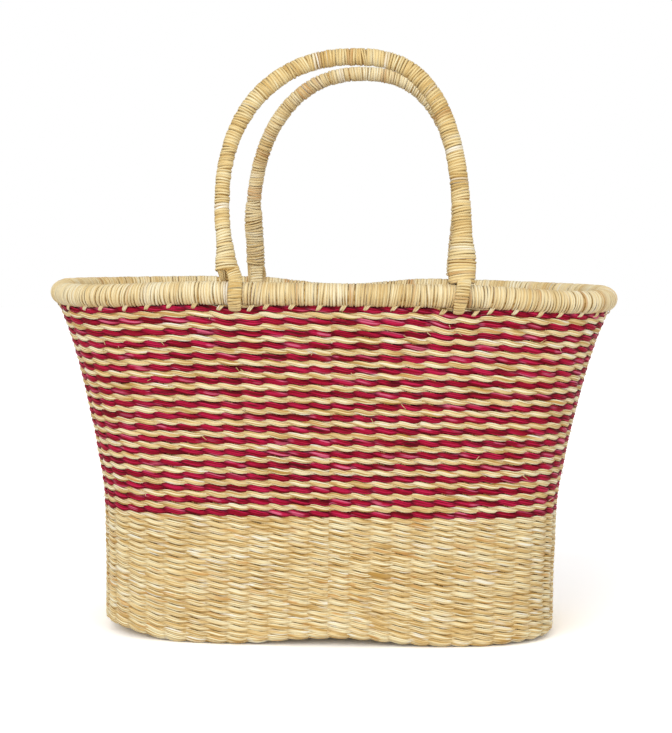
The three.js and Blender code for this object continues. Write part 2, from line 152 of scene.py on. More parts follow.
def oval_section(
    wide: np.ndarray, deep: np.ndarray, half_width: np.ndarray, half_depth: np.ndarray, sides: int
) -> np.ndarray:
    """Finds the outline of an oval section at each point of a line, from that point.

    Args:
        wide: Direction of the section's width at each point.
        deep: Direction of its depth.
        half_width: Half its width, one for all or one for each point.
        half_depth: Half its depth.
        sides: Points of the outline.

    Returns:
        Steps from the line by point and side.
    """
    around = np.arange(sides) / sides * TURN
    across = wide[:, None, :] * np.outer(half_width, np.cos(around))[..., None]
    return across + deep[:, None, :] * np.outer(half_depth, np.sin(around))[..., None]


@dataclass
class Oval:
    """Plan of the basket: a squarish oval that widens from its foot to the top of its wall."""

    foot_half_width: float = 168.7 * MM
    foot_half_depth: float = 94.5 * MM
    top_half_width: float = 206.9 * MM
    top_half_depth: float = 102.5 * MM
    foot_exponent: float = 3.6
    top_exponent: float = 2.9
    stakes: int = 60
    samples: int = 4001
    angles: np.ndarray = field(init=False)
    pitches: np.ndarray = field(init=False)

    def __post_init__(self) -> None:
        """Measures along a quarter of the top outline, so that the stakes are evenly spaced there."""
        self.angles = QUARTER_TURN * smooth_step(0, 1, np.linspace(0, 1, self.samples))
        across, deep = self.quarter(self.angles, np.ones(self.samples))
        run = np.concatenate([[0], np.cumsum(np.hypot(np.diff(across), np.diff(deep)))])
        self.pitches = run / run[-1] * self.stakes / 4

    def quarter(self, angle: np.ndarray, flare: np.ndarray) -> tuple[np.ndarray, np.ndarray]:
        """Finds points of a quarter of the oval.

        Args:
            angle: Angle from the front middle towards the right end.
            flare: 0 at the foot's outline and 1 at the top's.

        Returns:
            Distances from the centre along the width and along the depth.
        """
        exponent = self.foot_exponent + (self.top_exponent - self.foot_exponent) * flare
        power = 2 / exponent
        kept = exponent / self.top_exponent
        angle = np.arctan2(np.clip(np.sin(angle), 0, 1) ** kept, np.clip(np.cos(angle), 0, 1) ** kept)
        half_width = self.foot_half_width + (self.top_half_width - self.foot_half_width) * flare
        half_depth = self.foot_half_depth + (self.top_half_depth - self.foot_half_depth) * flare
        across = half_width * np.clip(np.sin(angle), 0, 1) ** power
        return across, half_depth * np.clip(np.cos(angle), 0, 1) ** power

    def point(self, pitch: np.ndarray, flare: np.ndarray) -> np.ndarray:
        """Finds points of the whole oval.

        Args:
            pitch: Stake spacings from the front middle.
            flare: 0 at the foot's outline and 1 at the top's.

        Returns:
            Points in plan, one row of two for each.
        """
        round_pitch = np.mod(pitch, self.stakes)
        from_front = np.minimum(round_pitch, self.stakes - round_pitch)
        in_quarter = np.minimum(from_front, self.stakes / 2 - from_front)
        angle = np.interp(in_quarter, self.pitches, self.angles)
        across, deep = self.quarter(angle, flare)
        across = np.where(round_pitch > self.stakes / 2, -across, across)
        deep = np.where(from_front > self.stakes / 4, deep, -deep)
        return np.stack([across, deep], axis=-1)

    def outward(self, pitch: np.ndarray, flare: np.ndarray, step: float = 0.05) -> np.ndarray:
        """Finds the outward directions in plan.

        Args:
            pitch: Stake spacings from the front middle.
            flare: 0 at the foot's outline and 1 at the top's.
            step: Stake spacings over which the direction is taken.

        Returns:
            Unit directions, one row of two for each.
        """
        run = unit(self.point(pitch + step, flare) - self.point(pitch - step, flare))
        return np.stack([run[..., 1], -run[..., 0]], axis=-1)


@dataclass
class HandmadeSet:
    """How the real basket departs from its even form: it droops, arches and dips at the grips."""

    tip_droop: float = 1.6 * MM
    corner_droop: float = 4.4 * MM
    rear_rise: float = 0.3 * MM
    rear_sag: float = 5.2 * MM
    rear_sag_middle: float = 4 * MM
    rear_sag_half_width: float = 74 * MM
    droop_from_share: float = 0.42
    droop_full_share: float = 0.97
    foot_arch: float = 5 * MM
    foot_arch_middle: float = 5 * MM
    foot_arch_half_width: float = 84 * MM
    foot_arch_height: float = 94 * MM
    end_lift: float = 6.5 * MM
    right_end_share: float = 0.3
    end_lift_from: float = 108 * MM
    end_lift_full: float = 160 * MM
    grip_dips: tuple[float, ...] = (2 * MM, 3.4 * MM, 3 * MM, 3 * MM)
    grip_dip_height: float = 34.6 * MM
    grip_flat_pitch: float = 0.42
    grip_end_pitch: float = 1.45
    grips: tuple[float, ...] = (-3.9, 5.25, 24.6, 33.6)

    def droop(self, plan: np.ndarray, half_width: float, half_depth: float) -> np.ndarray:
        """Finds how far the rim and the wall's top hang down towards the ends.

        Args:
            plan: Points in plan.
            half_width: Half the rim's width.
            half_depth: Half the rim's depth.

        Returns:
            Drop at each point.
        """
        out = smooth_step(self.droop_from_share, self.droop_full_share, np.abs(plan[..., 0]) / half_width)
        front = np.clip(-plan[..., 1] / half_depth, 0, 1)
        rear = smooth_step(0, 1, plan[..., 1] / half_depth)
        share = np.clip(np.abs(plan[..., 0] - self.rear_sag_middle) / self.rear_sag_half_width, 0, 1)
        sag = self.rear_sag * np.cos(share * QUARTER_TURN) ** 2
        return out * (self.tip_droop + self.corner_droop * front) + (sag - self.rear_rise) * rear

    def arch(self, plan: np.ndarray, height: np.ndarray) -> np.ndarray:
        """Finds how far the foot is raised off the floor, in its middle and at its two ends.

        Args:
            plan: Points in plan.
            height: Heights of the points.

        Returns:
            Rise at each point.
        """
        across = plan[..., 0]
        share = np.clip(np.abs(across - self.foot_arch_middle) / self.foot_arch_half_width, 0, 1)
        ends = smooth_step(self.end_lift_from, self.end_lift_full, np.abs(across)) * self.end_lift
        ends = np.where(across > 0, ends * self.right_end_share, ends)
        fade = np.clip(1 - height / self.foot_arch_height, 0, 1) ** 2
        return (self.foot_arch * np.cos(share * QUARTER_TURN) ** 2 + ends) * fade

    def from_grip(self, pitch: float, stakes: int) -> float:
        """Finds how far a place stands from the nearest grip, less than zero to its left.

        Args:
            pitch: Stake spacings from the front middle.
            stakes: Stakes round the basket.

        Returns:
            Stake spacings from the grip.
        """
        away = wrapped(pitch - np.array(self.grips), stakes)
        return float(away[np.abs(away).argmin()])

    def dip(self, pitch: np.ndarray, below_top: np.ndarray, stakes: int) -> np.ndarray:
        """Finds how far the courses are pushed down below the handles' loops.

        Args:
            pitch: Stake spacings from the front middle.
            below_top: Distance below the top of the wall.
            stakes: Stakes round the basket.

        Returns:
            Drop at each point.
        """
        drop = np.zeros_like(pitch)
        for grip, dip in zip(self.grips, self.grip_dips):
            away = np.abs(wrapped(pitch - grip, stakes))
            drop = np.maximum(drop, dip * (1 - smooth_step(self.grip_flat_pitch, self.grip_end_pitch, away)))
        return drop * np.clip(1 - below_top / self.grip_dip_height, 0, 1)


@dataclass
class WallSurface:
    """Outer face of the weave, from the edge of the base round the corner and up to the rim."""

    oval: Oval
    made: HandmadeSet
    top: float
    corner_radius: float = 5.5 * MM
    flare_steps: tuple[tuple[float, float], ...] = (
        (0, 0), (48, 0), (70, 0.02), (94, 0.03), (112, 0.07), (130, 0.17), (148, 0.25), (167, 0.37),
        (185, 0.48), (203, 0.6), (215, 0.7), (230, 0.83), (238, 0.94), (246, 1),
    )
    flare_samples: int = 500
    blur: float = 9 * MM
    blur_samples: int = 13
    step: float = 0.3 * MM
    pitch_step: float = 0.05

    def __post_init__(self) -> None:
        """Rounds the flare's table, so that the wall has no kinks."""
        self.heights = np.linspace(0, self.top + self.blur, self.flare_samples)
        spread = np.linspace(-self.blur, self.blur, self.blur_samples)
        heights, shares = np.array(self.flare_steps).T
        rows = [np.interp(self.heights + offset, heights * MM, shares) for offset in spread]
        self.flares = np.mean(rows, axis=0)

    @property
    def corner_run(self) -> float:
        """Length run round the corner."""
        return QUARTER_TURN * self.corner_radius

    def climb_at(self, height: float) -> float:
        """Climb at a height of the wall above its corner."""
        return height + self.corner_run - self.corner_radius

    def flare(self, height: np.ndarray) -> np.ndarray:
        """Share of the full flare at each height."""
        return np.interp(height, self.heights, self.flares)

    def point(self, pitch: np.ndarray, climb: np.ndarray) -> np.ndarray:
        """Finds points of the outer face.

        Args:
            pitch: Stake spacings from the front middle.
            climb: Length run up the weave.

        Returns:
            Points, one row of three for each.
        """
        turned = np.clip(climb / self.corner_radius, 0, QUARTER_TURN)
        over = np.minimum(climb, 0)
        inset = self.corner_radius * (1 - np.sin(turned)) - over
        height = np.where(
            climb < self.corner_run,
            self.corner_radius * (1 - np.cos(turned)),
            climb - self.corner_run + self.corner_radius,
        )
        flare = self.flare(height)
        plan = self.oval.point(pitch, flare) - self.oval.outward(pitch, flare) * inset[..., None]
        high = np.clip(height / self.top, 0, 1) ** 2
        rise = (
            self.made.arch(plan, height)
            - self.made.droop(plan, self.oval.top_half_width, self.oval.top_half_depth) * high
            - self.made.dip(pitch, self.top - height, self.oval.stakes)
        )
        return np.concatenate([plan, (height + rise)[..., None]], axis=-1)

    def frames(self, pitch: np.ndarray, climb: np.ndarray) -> tuple[np.ndarray, np.ndarray, np.ndarray]:
        """Finds a point of the outer face with the directions up the weave and out of it.

        Args:
            pitch: Stake spacings from the front middle.
            climb: Length run up the weave.

        Returns:
            Points, unit directions of climb and unit outward directions.
        """
        up = self.point(pitch, climb + self.step) - self.point(pitch, climb - self.step)
        on = self.point(pitch + self.pitch_step, climb) - self.point(pitch - self.pitch_step, climb)
        return self.point(pitch, climb), unit(up), unit(np.cross(on, up))


@dataclass
class BaseSurface:
    """Underside of the base: its courses shrink from the edge to a line along the middle."""

    wall: WallSurface
    line_half_length: float = 84 * MM
    step: float = 0.3 * MM

    @property
    def half_depth(self) -> float:
        """Half the depth of the flat of the base."""
        return self.wall.oval.foot_half_depth - self.wall.corner_radius

    def frames(self, pitch: np.ndarray, climb: np.ndarray) -> tuple[np.ndarray, np.ndarray, np.ndarray]:
        """Finds a point of the underside with the directions towards its edge and down.

        Args:
            pitch: Stake spacings from the front middle.
            climb: Negative distance in from the edge of the base.

        Returns:
            Points, unit directions towards the edge and unit outward directions.
        """
        edge = self.wall.point(pitch, np.zeros_like(pitch))[..., :2]
        line = np.stack(
            [np.clip(edge[..., 0], -self.line_half_length, self.line_half_length), np.zeros_like(pitch)],
            axis=-1,
        )
        share = 1 + climb / self.half_depth
        plan = line + (edge - line) * share[..., None]
        height = self.wall.made.arch(plan, np.zeros_like(pitch))
        points = np.concatenate([plan, height[..., None]], axis=-1)
        along = np.concatenate([unit(edge - line), np.zeros_like(pitch)[..., None]], axis=-1)
        down = np.zeros_like(points)
        down[..., 2] = -1
        return points, along, down


@dataclass(frozen=True)
class Colour:
    """A colour as a screen shows it, in shares of full red, green and blue."""

    red: float
    green: float
    blue: float

    def linear(self) -> tuple[float, float, float, float]:
        """Colour as a shader takes it, by the standard curve of screens."""
        shares = (self.red, self.green, self.blue)
        return tuple(s / 12.92 if s <= 0.04045 else ((s + 0.055) / 1.055) ** 2.4 for s in shares) + (1.0,)


class ShaderSheet:
    """Places and links nodes in one node tree."""

    def __init__(self, tree: bpy.types.NodeTree) -> None:
        """Starts from an empty tree."""
        self.tree = tree
        tree.nodes.clear()

    def node(self, kind: str, **settings: object) -> bpy.types.Node:
        """Adds a node.

        Args:
            kind: Blender's name of the node's type.
            **settings: Properties of the node.

        Returns:
            The node.
        """
        made = self.tree.nodes.new(kind)
        for name, value in settings.items():
            setattr(made, name, value)
        return made

    def put(self, value: object, socket: bpy.types.NodeSocket) -> None:
        """Links an output to a socket, or sets a plain value on it."""
        if isinstance(value, bpy.types.NodeSocket):
            self.tree.links.new(value, socket)
        else:
            socket.default_value = value

    def math(self, operation: str, *values: object) -> bpy.types.NodeSocket:
        """Adds a Math node.

        Args:
            operation: Name of the operation.
            *values: Outputs or numbers that it takes.

        Returns:
            Its output.
        """
        made = self.node("ShaderNodeMath", operation=operation)
        for value, socket in zip(values, made.inputs):
            self.put(value, socket)
        return made.outputs[0]

    def times(self, first: object, second: object) -> bpy.types.NodeSocket:
        """Multiplies two outputs or numbers."""
        return self.math("MULTIPLY", first, second)

    def plus(self, first: object, second: object) -> bpy.types.NodeSocket:
        """Adds two outputs or numbers."""
        return self.math("ADD", first, second)

    def mapped(self, value: object, span: Span, to: Span = (0.0, 1.0)) -> bpy.types.NodeSocket:
        """Adds a clamped Map Range node.

        Args:
            value: Output or number that is mapped.
            span: The two values that become the ends of the result.
            to: The result at those two.

        Returns:
            Its output.
        """
        made = self.node("ShaderNodeMapRange", clamp=True)
        for item, socket in zip((value, *span, *to), made.inputs):
            self.put(item, socket)
        return made.outputs[0]

    def blend(self, share: object, first: object, second: object) -> bpy.types.NodeSocket:
        """Adds a colour Mix node.

        Args:
            share: Share of the second colour.
            first: First colour.
            second: Second colour.

        Returns:
            Its output.
        """
        made = self.node("ShaderNodeMix", data_type="RGBA")
        self.put(share, made.inputs["Factor"])
        colours = [s for s in made.inputs if s.type == "RGBA"]
        self.put(first, colours[0])
        self.put(second, colours[1])
        return next(s for s in made.outputs if s.type == "RGBA")

    def noise(self, place: object, detail: float) -> bpy.types.NodeSocket:
        """Adds a Noise node of scale one.

        Args:
            place: Output that gives the place, or the three outputs or numbers of its parts.
            detail: Detail of the noise.

        Returns:
            Its value.
        """
        if isinstance(place, tuple):
            whole = self.node("ShaderNodeCombineXYZ")
            for value, socket in zip(place, whole.inputs):
                self.put(value, socket)
            place = whole.outputs[0]
        made = self.node("ShaderNodeTexNoise", noise_dimensions="3D")
        for name, value in (("Vector", place), ("Scale", 1.0), ("Detail", detail), ("Roughness", 0.6)):
            self.put(value, made.inputs[name])
        return made.outputs[0]

    def seen(self) -> bpy.types.NodeSocket:
        """Finds the rays that show a surface itself, and not its light on other things."""
        rays = self.node("ShaderNodeLightPath").outputs
        seen = self.math("MAXIMUM", rays["Is Camera Ray"], rays["Is Glossy Ray"])
        return self.math("MAXIMUM", seen, rays["Is Transmission Ray"])


@dataclass(frozen=True)
class StrawPattern:
    """The shared straw pattern, which follows the UV map: u counts stitches or turns, v strands.

    Its numbers are the steps that keep neighbouring straws and strands apart in the noises, and the spans
    of the noises that become 0 to 1.
    """

    inputs: tuple[str, ...] = ("Straws Across", "Straw Length", "Lines Across", "Change Along", "Patch Size")
    outputs: tuple[str, ...] = ("Tone", "Chance", "Lines", "Patches", "Grooves", "Turned In Painted Shade")
    tone_shift: float = 0.618
    tone_by_straw: float = 9.73
    tone_by_strand: float = 3.37
    tone_detail: float = 0.6
    tone_span: Span = (0.32, 0.68)
    chance_along: float = 1.7
    chance_by_straw: float = 5.31
    chance_straw_start: float = 0.4
    chance_by_strand: float = 7.19
    chance_strand_start: float = 31.3
    lines_by_straw: float = 3.91
    lines_detail: float = 1.2
    lines_span: Span = (0.4, 0.6)
    patch_detail: float = 2.0
    patch_span: Span = (0.32, 0.68)
    groove_span: Span = (0.0, 0.2)
    coming_span: Span = (0.25, 0.37)
    going_span: Span = (0.7, 0.8)
    going_most: float = 0.6

    def build(self) -> bpy.types.NodeTree:
        """Builds the node group.

        Returns:
            A group that puts out a tone and a chance for each straw of a strand, fine lines along the straws,
            broad patches, the grooves between straws, for bumps and painted shade, and the places where a
            strand turns in behind a stake, for painted shade.
        """
        group = bpy.data.node_groups.new("straw_pattern", "ShaderNodeTree")
        sheet = ShaderSheet(group)
        for way, names in (("INPUT", self.inputs), ("OUTPUT", self.outputs)):
            for name in names:
                group.interface.new_socket(name, in_out=way, socket_type="NodeSocketFloat")
        given = sheet.node("NodeGroupInput").outputs
        result = sheet.node("NodeGroupOutput").inputs

        parts = sheet.node("ShaderNodeSeparateXYZ")
        sheet.put(sheet.node("ShaderNodeUVMap", uv_map=UV_NAME).outputs[0], parts.inputs[0])
        run, side = parts.outputs["X"], parts.outputs["Y"]
        strand = sheet.math("FLOOR", side)
        across = sheet.plus(sheet.times(sheet.math("FRACT", side), given["Straws Across"]), 0.5)
        straw = sheet.math("MODULO", sheet.math("FLOOR", across), given["Straws Across"])

        change = sheet.math("DIVIDE", run, given["Straw Length"])
        tone_place = (
            sheet.plus(change, sheet.times(strand, self.tone_shift)),
            sheet.times(straw, self.tone_by_straw),
            sheet.times(strand, self.tone_by_strand),
        )
        chance_place = (
            sheet.times(change, self.chance_along),
            sheet.plus(sheet.times(straw, self.chance_by_straw), self.chance_straw_start),
            sheet.plus(sheet.times(strand, self.chance_by_strand), self.chance_strand_start),
        )
        line_place = (
            sheet.times(run, given["Change Along"]),
            sheet.times(side, given["Lines Across"]),
            sheet.times(straw, self.lines_by_straw),
        )
        tone = sheet.noise(tone_place, self.tone_detail)
        chance = sheet.noise(chance_place, 0.0)
        lines = sheet.noise(line_place, self.lines_detail)
        scaled = sheet.node("ShaderNodeVectorMath", operation="SCALE")
        sheet.put(sheet.node("ShaderNodeTexCoord").outputs["Object"], scaled.inputs[0])
        sheet.put(sheet.math("DIVIDE", 1.0, given["Patch Size"]), scaled.inputs["Scale"])
        patches = sheet.noise(scaled.outputs[0], self.patch_detail)
        # Where a strand comes out from behind a stake and where it goes in: the mask of painted shade at the
        # crossings.
        phase = sheet.math("FRACT", run)
        coming = sheet.mapped(phase, self.coming_span, (1.0, 0.0))
        going = sheet.mapped(phase, self.going_span, (0.0, self.going_most))
        grooves = sheet.mapped(sheet.math("PINGPONG", across, 0.5), self.groove_span, (1.0, 0.0))

        sheet.put(sheet.mapped(tone, self.tone_span), result["Tone"])
        sheet.put(chance, result["Chance"])
        sheet.put(sheet.mapped(lines, self.lines_span), result["Lines"])
        sheet.put(sheet.mapped(patches, self.patch_span), result["Patches"])
        sheet.put(grooves, result["Grooves"])
        sheet.put(sheet.math("MAXIMUM", coming, going), result["Turned In Painted Shade"])
        return group


PATTERN = StrawPattern()


@dataclass(frozen=True)
class StrawFinish:
    """Finish of one kind of straw."""

    name: str
    slot: Slot
    deep: Colour
    body: Colour
    pale: Colour
    bleached_and_highlight: Colour
    stain: Colour
    # Colour of painted shade, laid where a strand turns in behind a stake.
    shade: Colour
    deep_to_body: Span = (0.05, 0.5)
    body_to_pale: Span = (0.5, 0.95)
    bleached_and_highlight_from: float = 0.69
    bleached_and_highlight_lines: Span = (0.1, 0.8)
    bleached_and_highlight_shares: Span = (0.35, 1.0)
    stained_to: float = 0.31
    stained_lines: Span = (0.2, 0.7)
    stained_shares: Span = (0.9, 0.4)
    edge_width: float = 0.06
    tone_weight: float = 0.35
    line_weight: float = 0.68
    patch_weight: float = 0.18
    groove_painted_shade_weight: float = 0.4
    painted_shade_weight: float = 0.0
    straws_across: float = 6.0
    straw_length: float = 1.3
    lines_across: float = 9.0
    change_along: float = 0.9
    patch_size: float = 0.03
    roughness: Span = (0.7, 0.48)
    specular: float = 0.25
    sheen: float = 0.03
    line_depth: float = 0.35 * MM
    line_strength: float = 0.7

    def build(self, pattern: bpy.types.NodeTree) -> bpy.types.Material:
        """Makes the material.

        Args:
            pattern: The shared straw pattern.

        Returns:
            The material.
        """
        material = bpy.data.materials.new(self.name)
        material.use_nodes = True
        sheet = ShaderSheet(material.node_tree)
        straw = sheet.node("ShaderNodeGroup", node_tree=pattern)
        sizes = (self.straws_across, self.straw_length, self.lines_across, self.change_along, self.patch_size)
        for name, size in zip(PATTERN.inputs, sizes):
            straw.inputs[name].default_value = size
        tone, chance, lines, patches, grooves, turned_in_painted_shade = (straw.outputs[name] for name in PATTERN.outputs)

        # The level starts with painted shade: it drops along the grooves between straws.
        level = sheet.times(grooves, -self.groove_painted_shade_weight)
        weights = ((tone, self.tone_weight), (lines, self.line_weight), (patches, self.patch_weight))
        for measure, weight in weights:
            level = sheet.plus(level, sheet.times(measure, weight))
        lower = sheet.blend(sheet.mapped(level, self.deep_to_body), self.deep.linear(), self.body.linear())
        colour = sheet.blend(sheet.mapped(level, self.body_to_pale), lower, self.pale.linear())
        # Single straws turn to the bleached colour: paler bleached straw, and in red straw pink lines of
        # painted highlight.
        bleached_and_highlight = sheet.times(
            sheet.mapped(chance, (self.bleached_and_highlight_from, self.bleached_and_highlight_from + self.edge_width)),
            sheet.mapped(lines, self.bleached_and_highlight_lines, self.bleached_and_highlight_shares),
        )
        colour = sheet.blend(bleached_and_highlight, colour, self.bleached_and_highlight.linear())
        stained = sheet.times(
            sheet.mapped(chance, (self.stained_to, self.stained_to - self.edge_width)),
            sheet.mapped(lines, self.stained_lines, self.stained_shares),
        )
        colour = sheet.blend(stained, colour, self.stain.linear())
        # Painted shade: the colour turns towards the shade colour where the strand turns in behind a stake.
        colour = sheet.blend(sheet.times(turned_in_painted_shade, self.painted_shade_weight), colour, self.shade.linear())

        bump = sheet.node("ShaderNodeBump")
        shader = sheet.node("ShaderNodeBsdfPrincipled")
        output = sheet.node("ShaderNodeOutputMaterial")
        for value, socket in (
            (self.line_strength, bump.inputs["Strength"]),
            (self.line_depth, bump.inputs["Distance"]),
            (sheet.math("SUBTRACT", lines, grooves), bump.inputs["Height"]),
            (colour, shader.inputs["Base Color"]),
            (sheet.mapped(lines, (0.0, 1.0), self.roughness), shader.inputs["Roughness"]),
            (bump.outputs[0], shader.inputs["Normal"]),
            (self.specular, shader.inputs["Specular IOR Level"]),
            (self.sheen, shader.inputs["Sheen Weight"]),
            (shader.outputs[0], output.inputs["Surface"]),
        ):
            sheet.put(value, socket)
        return material


NATURAL = StrawFinish(
    name="natural_straw",
    slot=Slot.NATURAL,
    deep=Colour(0.74, 0.57, 0.28),
    body=Colour(0.96, 0.85, 0.61),
    pale=Colour(1.0, 0.96, 0.8),
    bleached_and_highlight=Colour(1.0, 0.98, 0.9),
    stain=Colour(0.84, 0.63, 0.35),
    # Painted shade at the crossings: dark olive-brown.
    shade=Colour(0.55, 0.4, 0.14),
    painted_shade_weight=0.25,
)
RED = StrawFinish(
    name="red_straw",
    slot=Slot.RED,
    deep=Colour(0.4, 0.0, 0.05),
    body=Colour(0.65, 0.01, 0.16),
    # Pink lines of painted highlight: the pale and the bleached colours of red straw.
    pale=Colour(0.78, 0.1, 0.3),
    bleached_and_highlight=Colour(0.88, 0.4, 0.53),
    stain=Colour(0.32, 0.0, 0.04),
    # Painted shade at the crossings: near-black crimson.
    shade=Colour(0.2, 0.0, 0.02),
    specular=0.15,
    sheen=0.0,
    bleached_and_highlight_from=0.66,
    stained_to=0.34,
    painted_shade_weight=0.75,
)
STAKE = StrawFinish(
    name="stake_straw",
    slot=Slot.STAKE,
    deep=Colour(0.42, 0.31, 0.14),
    body=Colour(0.6, 0.47, 0.25),
    pale=Colour(0.74, 0.62, 0.38),
    bleached_and_highlight=Colour(0.8, 0.7, 0.48),
    stain=Colour(0.42, 0.29, 0.13),
    shade=Colour(0.3, 0.22, 0.1),
)
BINDING = StrawFinish(
    name="binding_straw",
    slot=Slot.BINDING,
    deep=Colour(0.82, 0.66, 0.37),
    body=Colour(0.96, 0.85, 0.6),
    pale=Colour(0.99, 0.94, 0.77),
    bleached_and_highlight=Colour(1.0, 0.97, 0.9),
    stain=Colour(0.82, 0.62, 0.38),
    shade=Colour(0.4, 0.3, 0.12),
    tone_weight=0.45,
    line_weight=0.4,
    groove_painted_shade_weight=0.15,
    straws_across=4.0,
    straw_length=7.0,
    lines_across=8.0,
    change_along=2.0,
)
RIM_BINDING = replace(
    BINDING,
    name="rim_binding_straw",
    deep=Colour(0.86, 0.72, 0.46),
    body=Colour(0.97, 0.88, 0.67),
    pale=Colour(1.0, 0.96, 0.83),
    stained_to=0.33,
)
CORE = StrawFinish(
    name="core_straw",
    slot=Slot.CORE,
    deep=Colour(0.62, 0.46, 0.22),
    body=Colour(0.78, 0.62, 0.35),
    pale=Colour(0.88, 0.74, 0.47),
    bleached_and_highlight=Colour(0.92, 0.82, 0.58),
    stain=Colour(0.6, 0.43, 0.2),
    shade=Colour(0.3, 0.2, 0.08),
)
FINISHES = (NATURAL, RED, STAKE, BINDING, RIM_BINDING, CORE)


class Finishes:
    """The materials of the straws, each built once."""

    def __init__(self) -> None:
        """Builds the shared pattern and the materials."""
        pattern = PATTERN.build()
        self.made = {finish.name: finish.build(pattern) for finish in FINISHES}

    def dress(self, piece: bpy.types.Object, finish: StrawFinish, body: Body, *nodes: str) -> None:
        """Gives a piece its material and body, and hides the nodes that it stands for.

        Args:
            piece: The piece.
            finish: Its finish.
            body: The body that it rides on.
            *nodes: Names of the nodes that it replaces.
        """
        piece.data.materials.append(self.made[finish.name])
        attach(piece, body.value)
        if nodes:
            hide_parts(*nodes)
        LOG.info("%s: %d faces on %s", piece.name, len(piece.data.polygons), body.value)


def rolled_grid(rings: int, sides: int, closed: bool) -> bpy.types.Mesh:
    """Rolls a grid into a tube by welding its sides, for the pieces to bend to their own shape.

    Args:
        rings: Sections along the tube.
        sides: Points of a section.
        closed: True for a tube that runs into itself, and False for one with capped ends.

    Returns:
        The mesh, flat: each vertex's x is its ring and its y is its side.
    """
    bm = bmesh.new()
    spans = rings if closed else rings - 1
    spread = Matrix.Diagonal((spans / 2, sides / 2, 1, 1)) @ Matrix.Translation((1, 1, 0))
    bmesh.ops.create_grid(bm, x_segments=spans, y_segments=sides, size=1, matrix=spread)
    place = {(round(vert.co.x), round(vert.co.y)): vert for vert in bm.verts}
    weld = {}
    for (ring, side), vert in place.items():
        target = place[(ring % rings if closed else ring, side % sides)]
        if target is not vert:
            weld[vert] = target
    bmesh.ops.weld_verts(bm, targetmap=weld)
    if not closed:
        bmesh.ops.holes_fill(bm, edges=[edge for edge in bm.edges if edge.is_boundary], sides=0)
    mesh = bpy.data.meshes.new("rolled_grid")
    bm.to_mesh(mesh)
    bm.free()
    return mesh


def read_all(items: bpy.types.bpy_prop_collection, name: str, kind: type, width: int = 1) -> np.ndarray:
    """Reads one property of every item.

    Args:
        items: The items, such as a mesh's vertices.
        name: Name of the property.
        kind: Kind of its numbers.
        width: How many numbers each item has.

    Returns:
        The numbers in a row.
    """
    values = np.empty(len(items) * width, dtype=kind)
    items.foreach_get(name, values)
    return values


class TubeSet:
    """Many tubes of one make, joined in one mesh and bent to shape together."""

    def __init__(self, places: np.ndarray, closed: bool = False) -> None:
        """Lays out the tubes.

        Args:
            places: Points by tube, ring and side.
            closed: True for tubes that run into themselves, and False for tubes with capped ends.
        """
        self.places, self.closed = places, closed
        self.count, self.rings, self.sides, _ = places.shape
        pattern = rolled_grid(self.rings, self.sides, closed)
        spots = read_all(pattern.vertices, "co", float, width=3)
        self.ring, self.side, _ = np.rint(spots.reshape(-1, 3).T).astype(int)
        bm = bmesh.new()
        for _ in range(self.count):
            bm.from_mesh(pattern)
        self.mesh = bpy.data.meshes.new("tubes")
        bm.to_mesh(self.mesh)
        bm.free()
        bpy.data.meshes.remove(pattern)

    def piece(self, name: str, along: np.ndarray, strands: np.ndarray | float) -> bpy.types.Object:
        """Moves every vertex to its place and lays the straw's UV map.

        Args:
            name: Name of the piece.
            along: The u of the rings and of the ring that closes a tube, for all tubes or for each.
            strands: The whole number that starts each tube's v.

        Returns:
            The piece.
        """
        mesh = self.mesh
        mesh.name = name
        flat = self.places[:, self.ring, self.side, :]
        mesh.vertices.foreach_set("co", flat.astype(np.float32).ravel())
        mesh.update()
        self.face_outwards(mesh)
        corners = read_all(mesh.loops, "vertex_index", int)
        totals = read_all(mesh.polygons, "loop_total", int)
        face = np.repeat(np.arange(len(totals)), totals)
        tube, vertex = np.divmod(corners, len(self.ring))
        ring, side = self.ring[vertex].astype(float), self.side[vertex].astype(float)
        quads = totals[face] == 4
        spans = ((ring, self.rings), (side, self.sides)) if self.closed else ((side, self.sides),)
        for values, count in spans:
            most = np.full(len(totals), -1.0)
            np.maximum.at(most, face, values)
            wraps = quads & (most[face] - values > count / 2)
            values[wraps] += count
        along = np.broadcast_to(along, (self.count, self.rings + 1))
        strands = np.broadcast_to(strands, self.count)
        v = strands[tube] + np.clip(side / self.sides, UV_INSET, 1 - UV_INSET)
        uv = np.stack([along[tube, ring.astype(int)], v], axis=-1)
        layer = mesh.uv_layers.new(name=UV_NAME)
        layer.data.foreach_set("uv", uv.astype(np.float32).ravel())
        mesh.shade_smooth()
        piece = bpy.data.objects.new(name, mesh)
        bpy.context.scene.collection.objects.link(piece)
        return piece

    def face_outwards(self, mesh: bpy.types.Mesh) -> None:
        """Turns the faces so that they point out of the tubes."""
        bm = bmesh.new()
        bm.from_mesh(mesh)
        if not self.closed:
            bmesh.ops.recalc_face_normals(bm, faces=bm.faces)
        if bm.calc_volume(signed=True) < 0:
            bmesh.ops.reverse_faces(bm, faces=bm.faces)
        bm.to_mesh(mesh)
        bm.free()


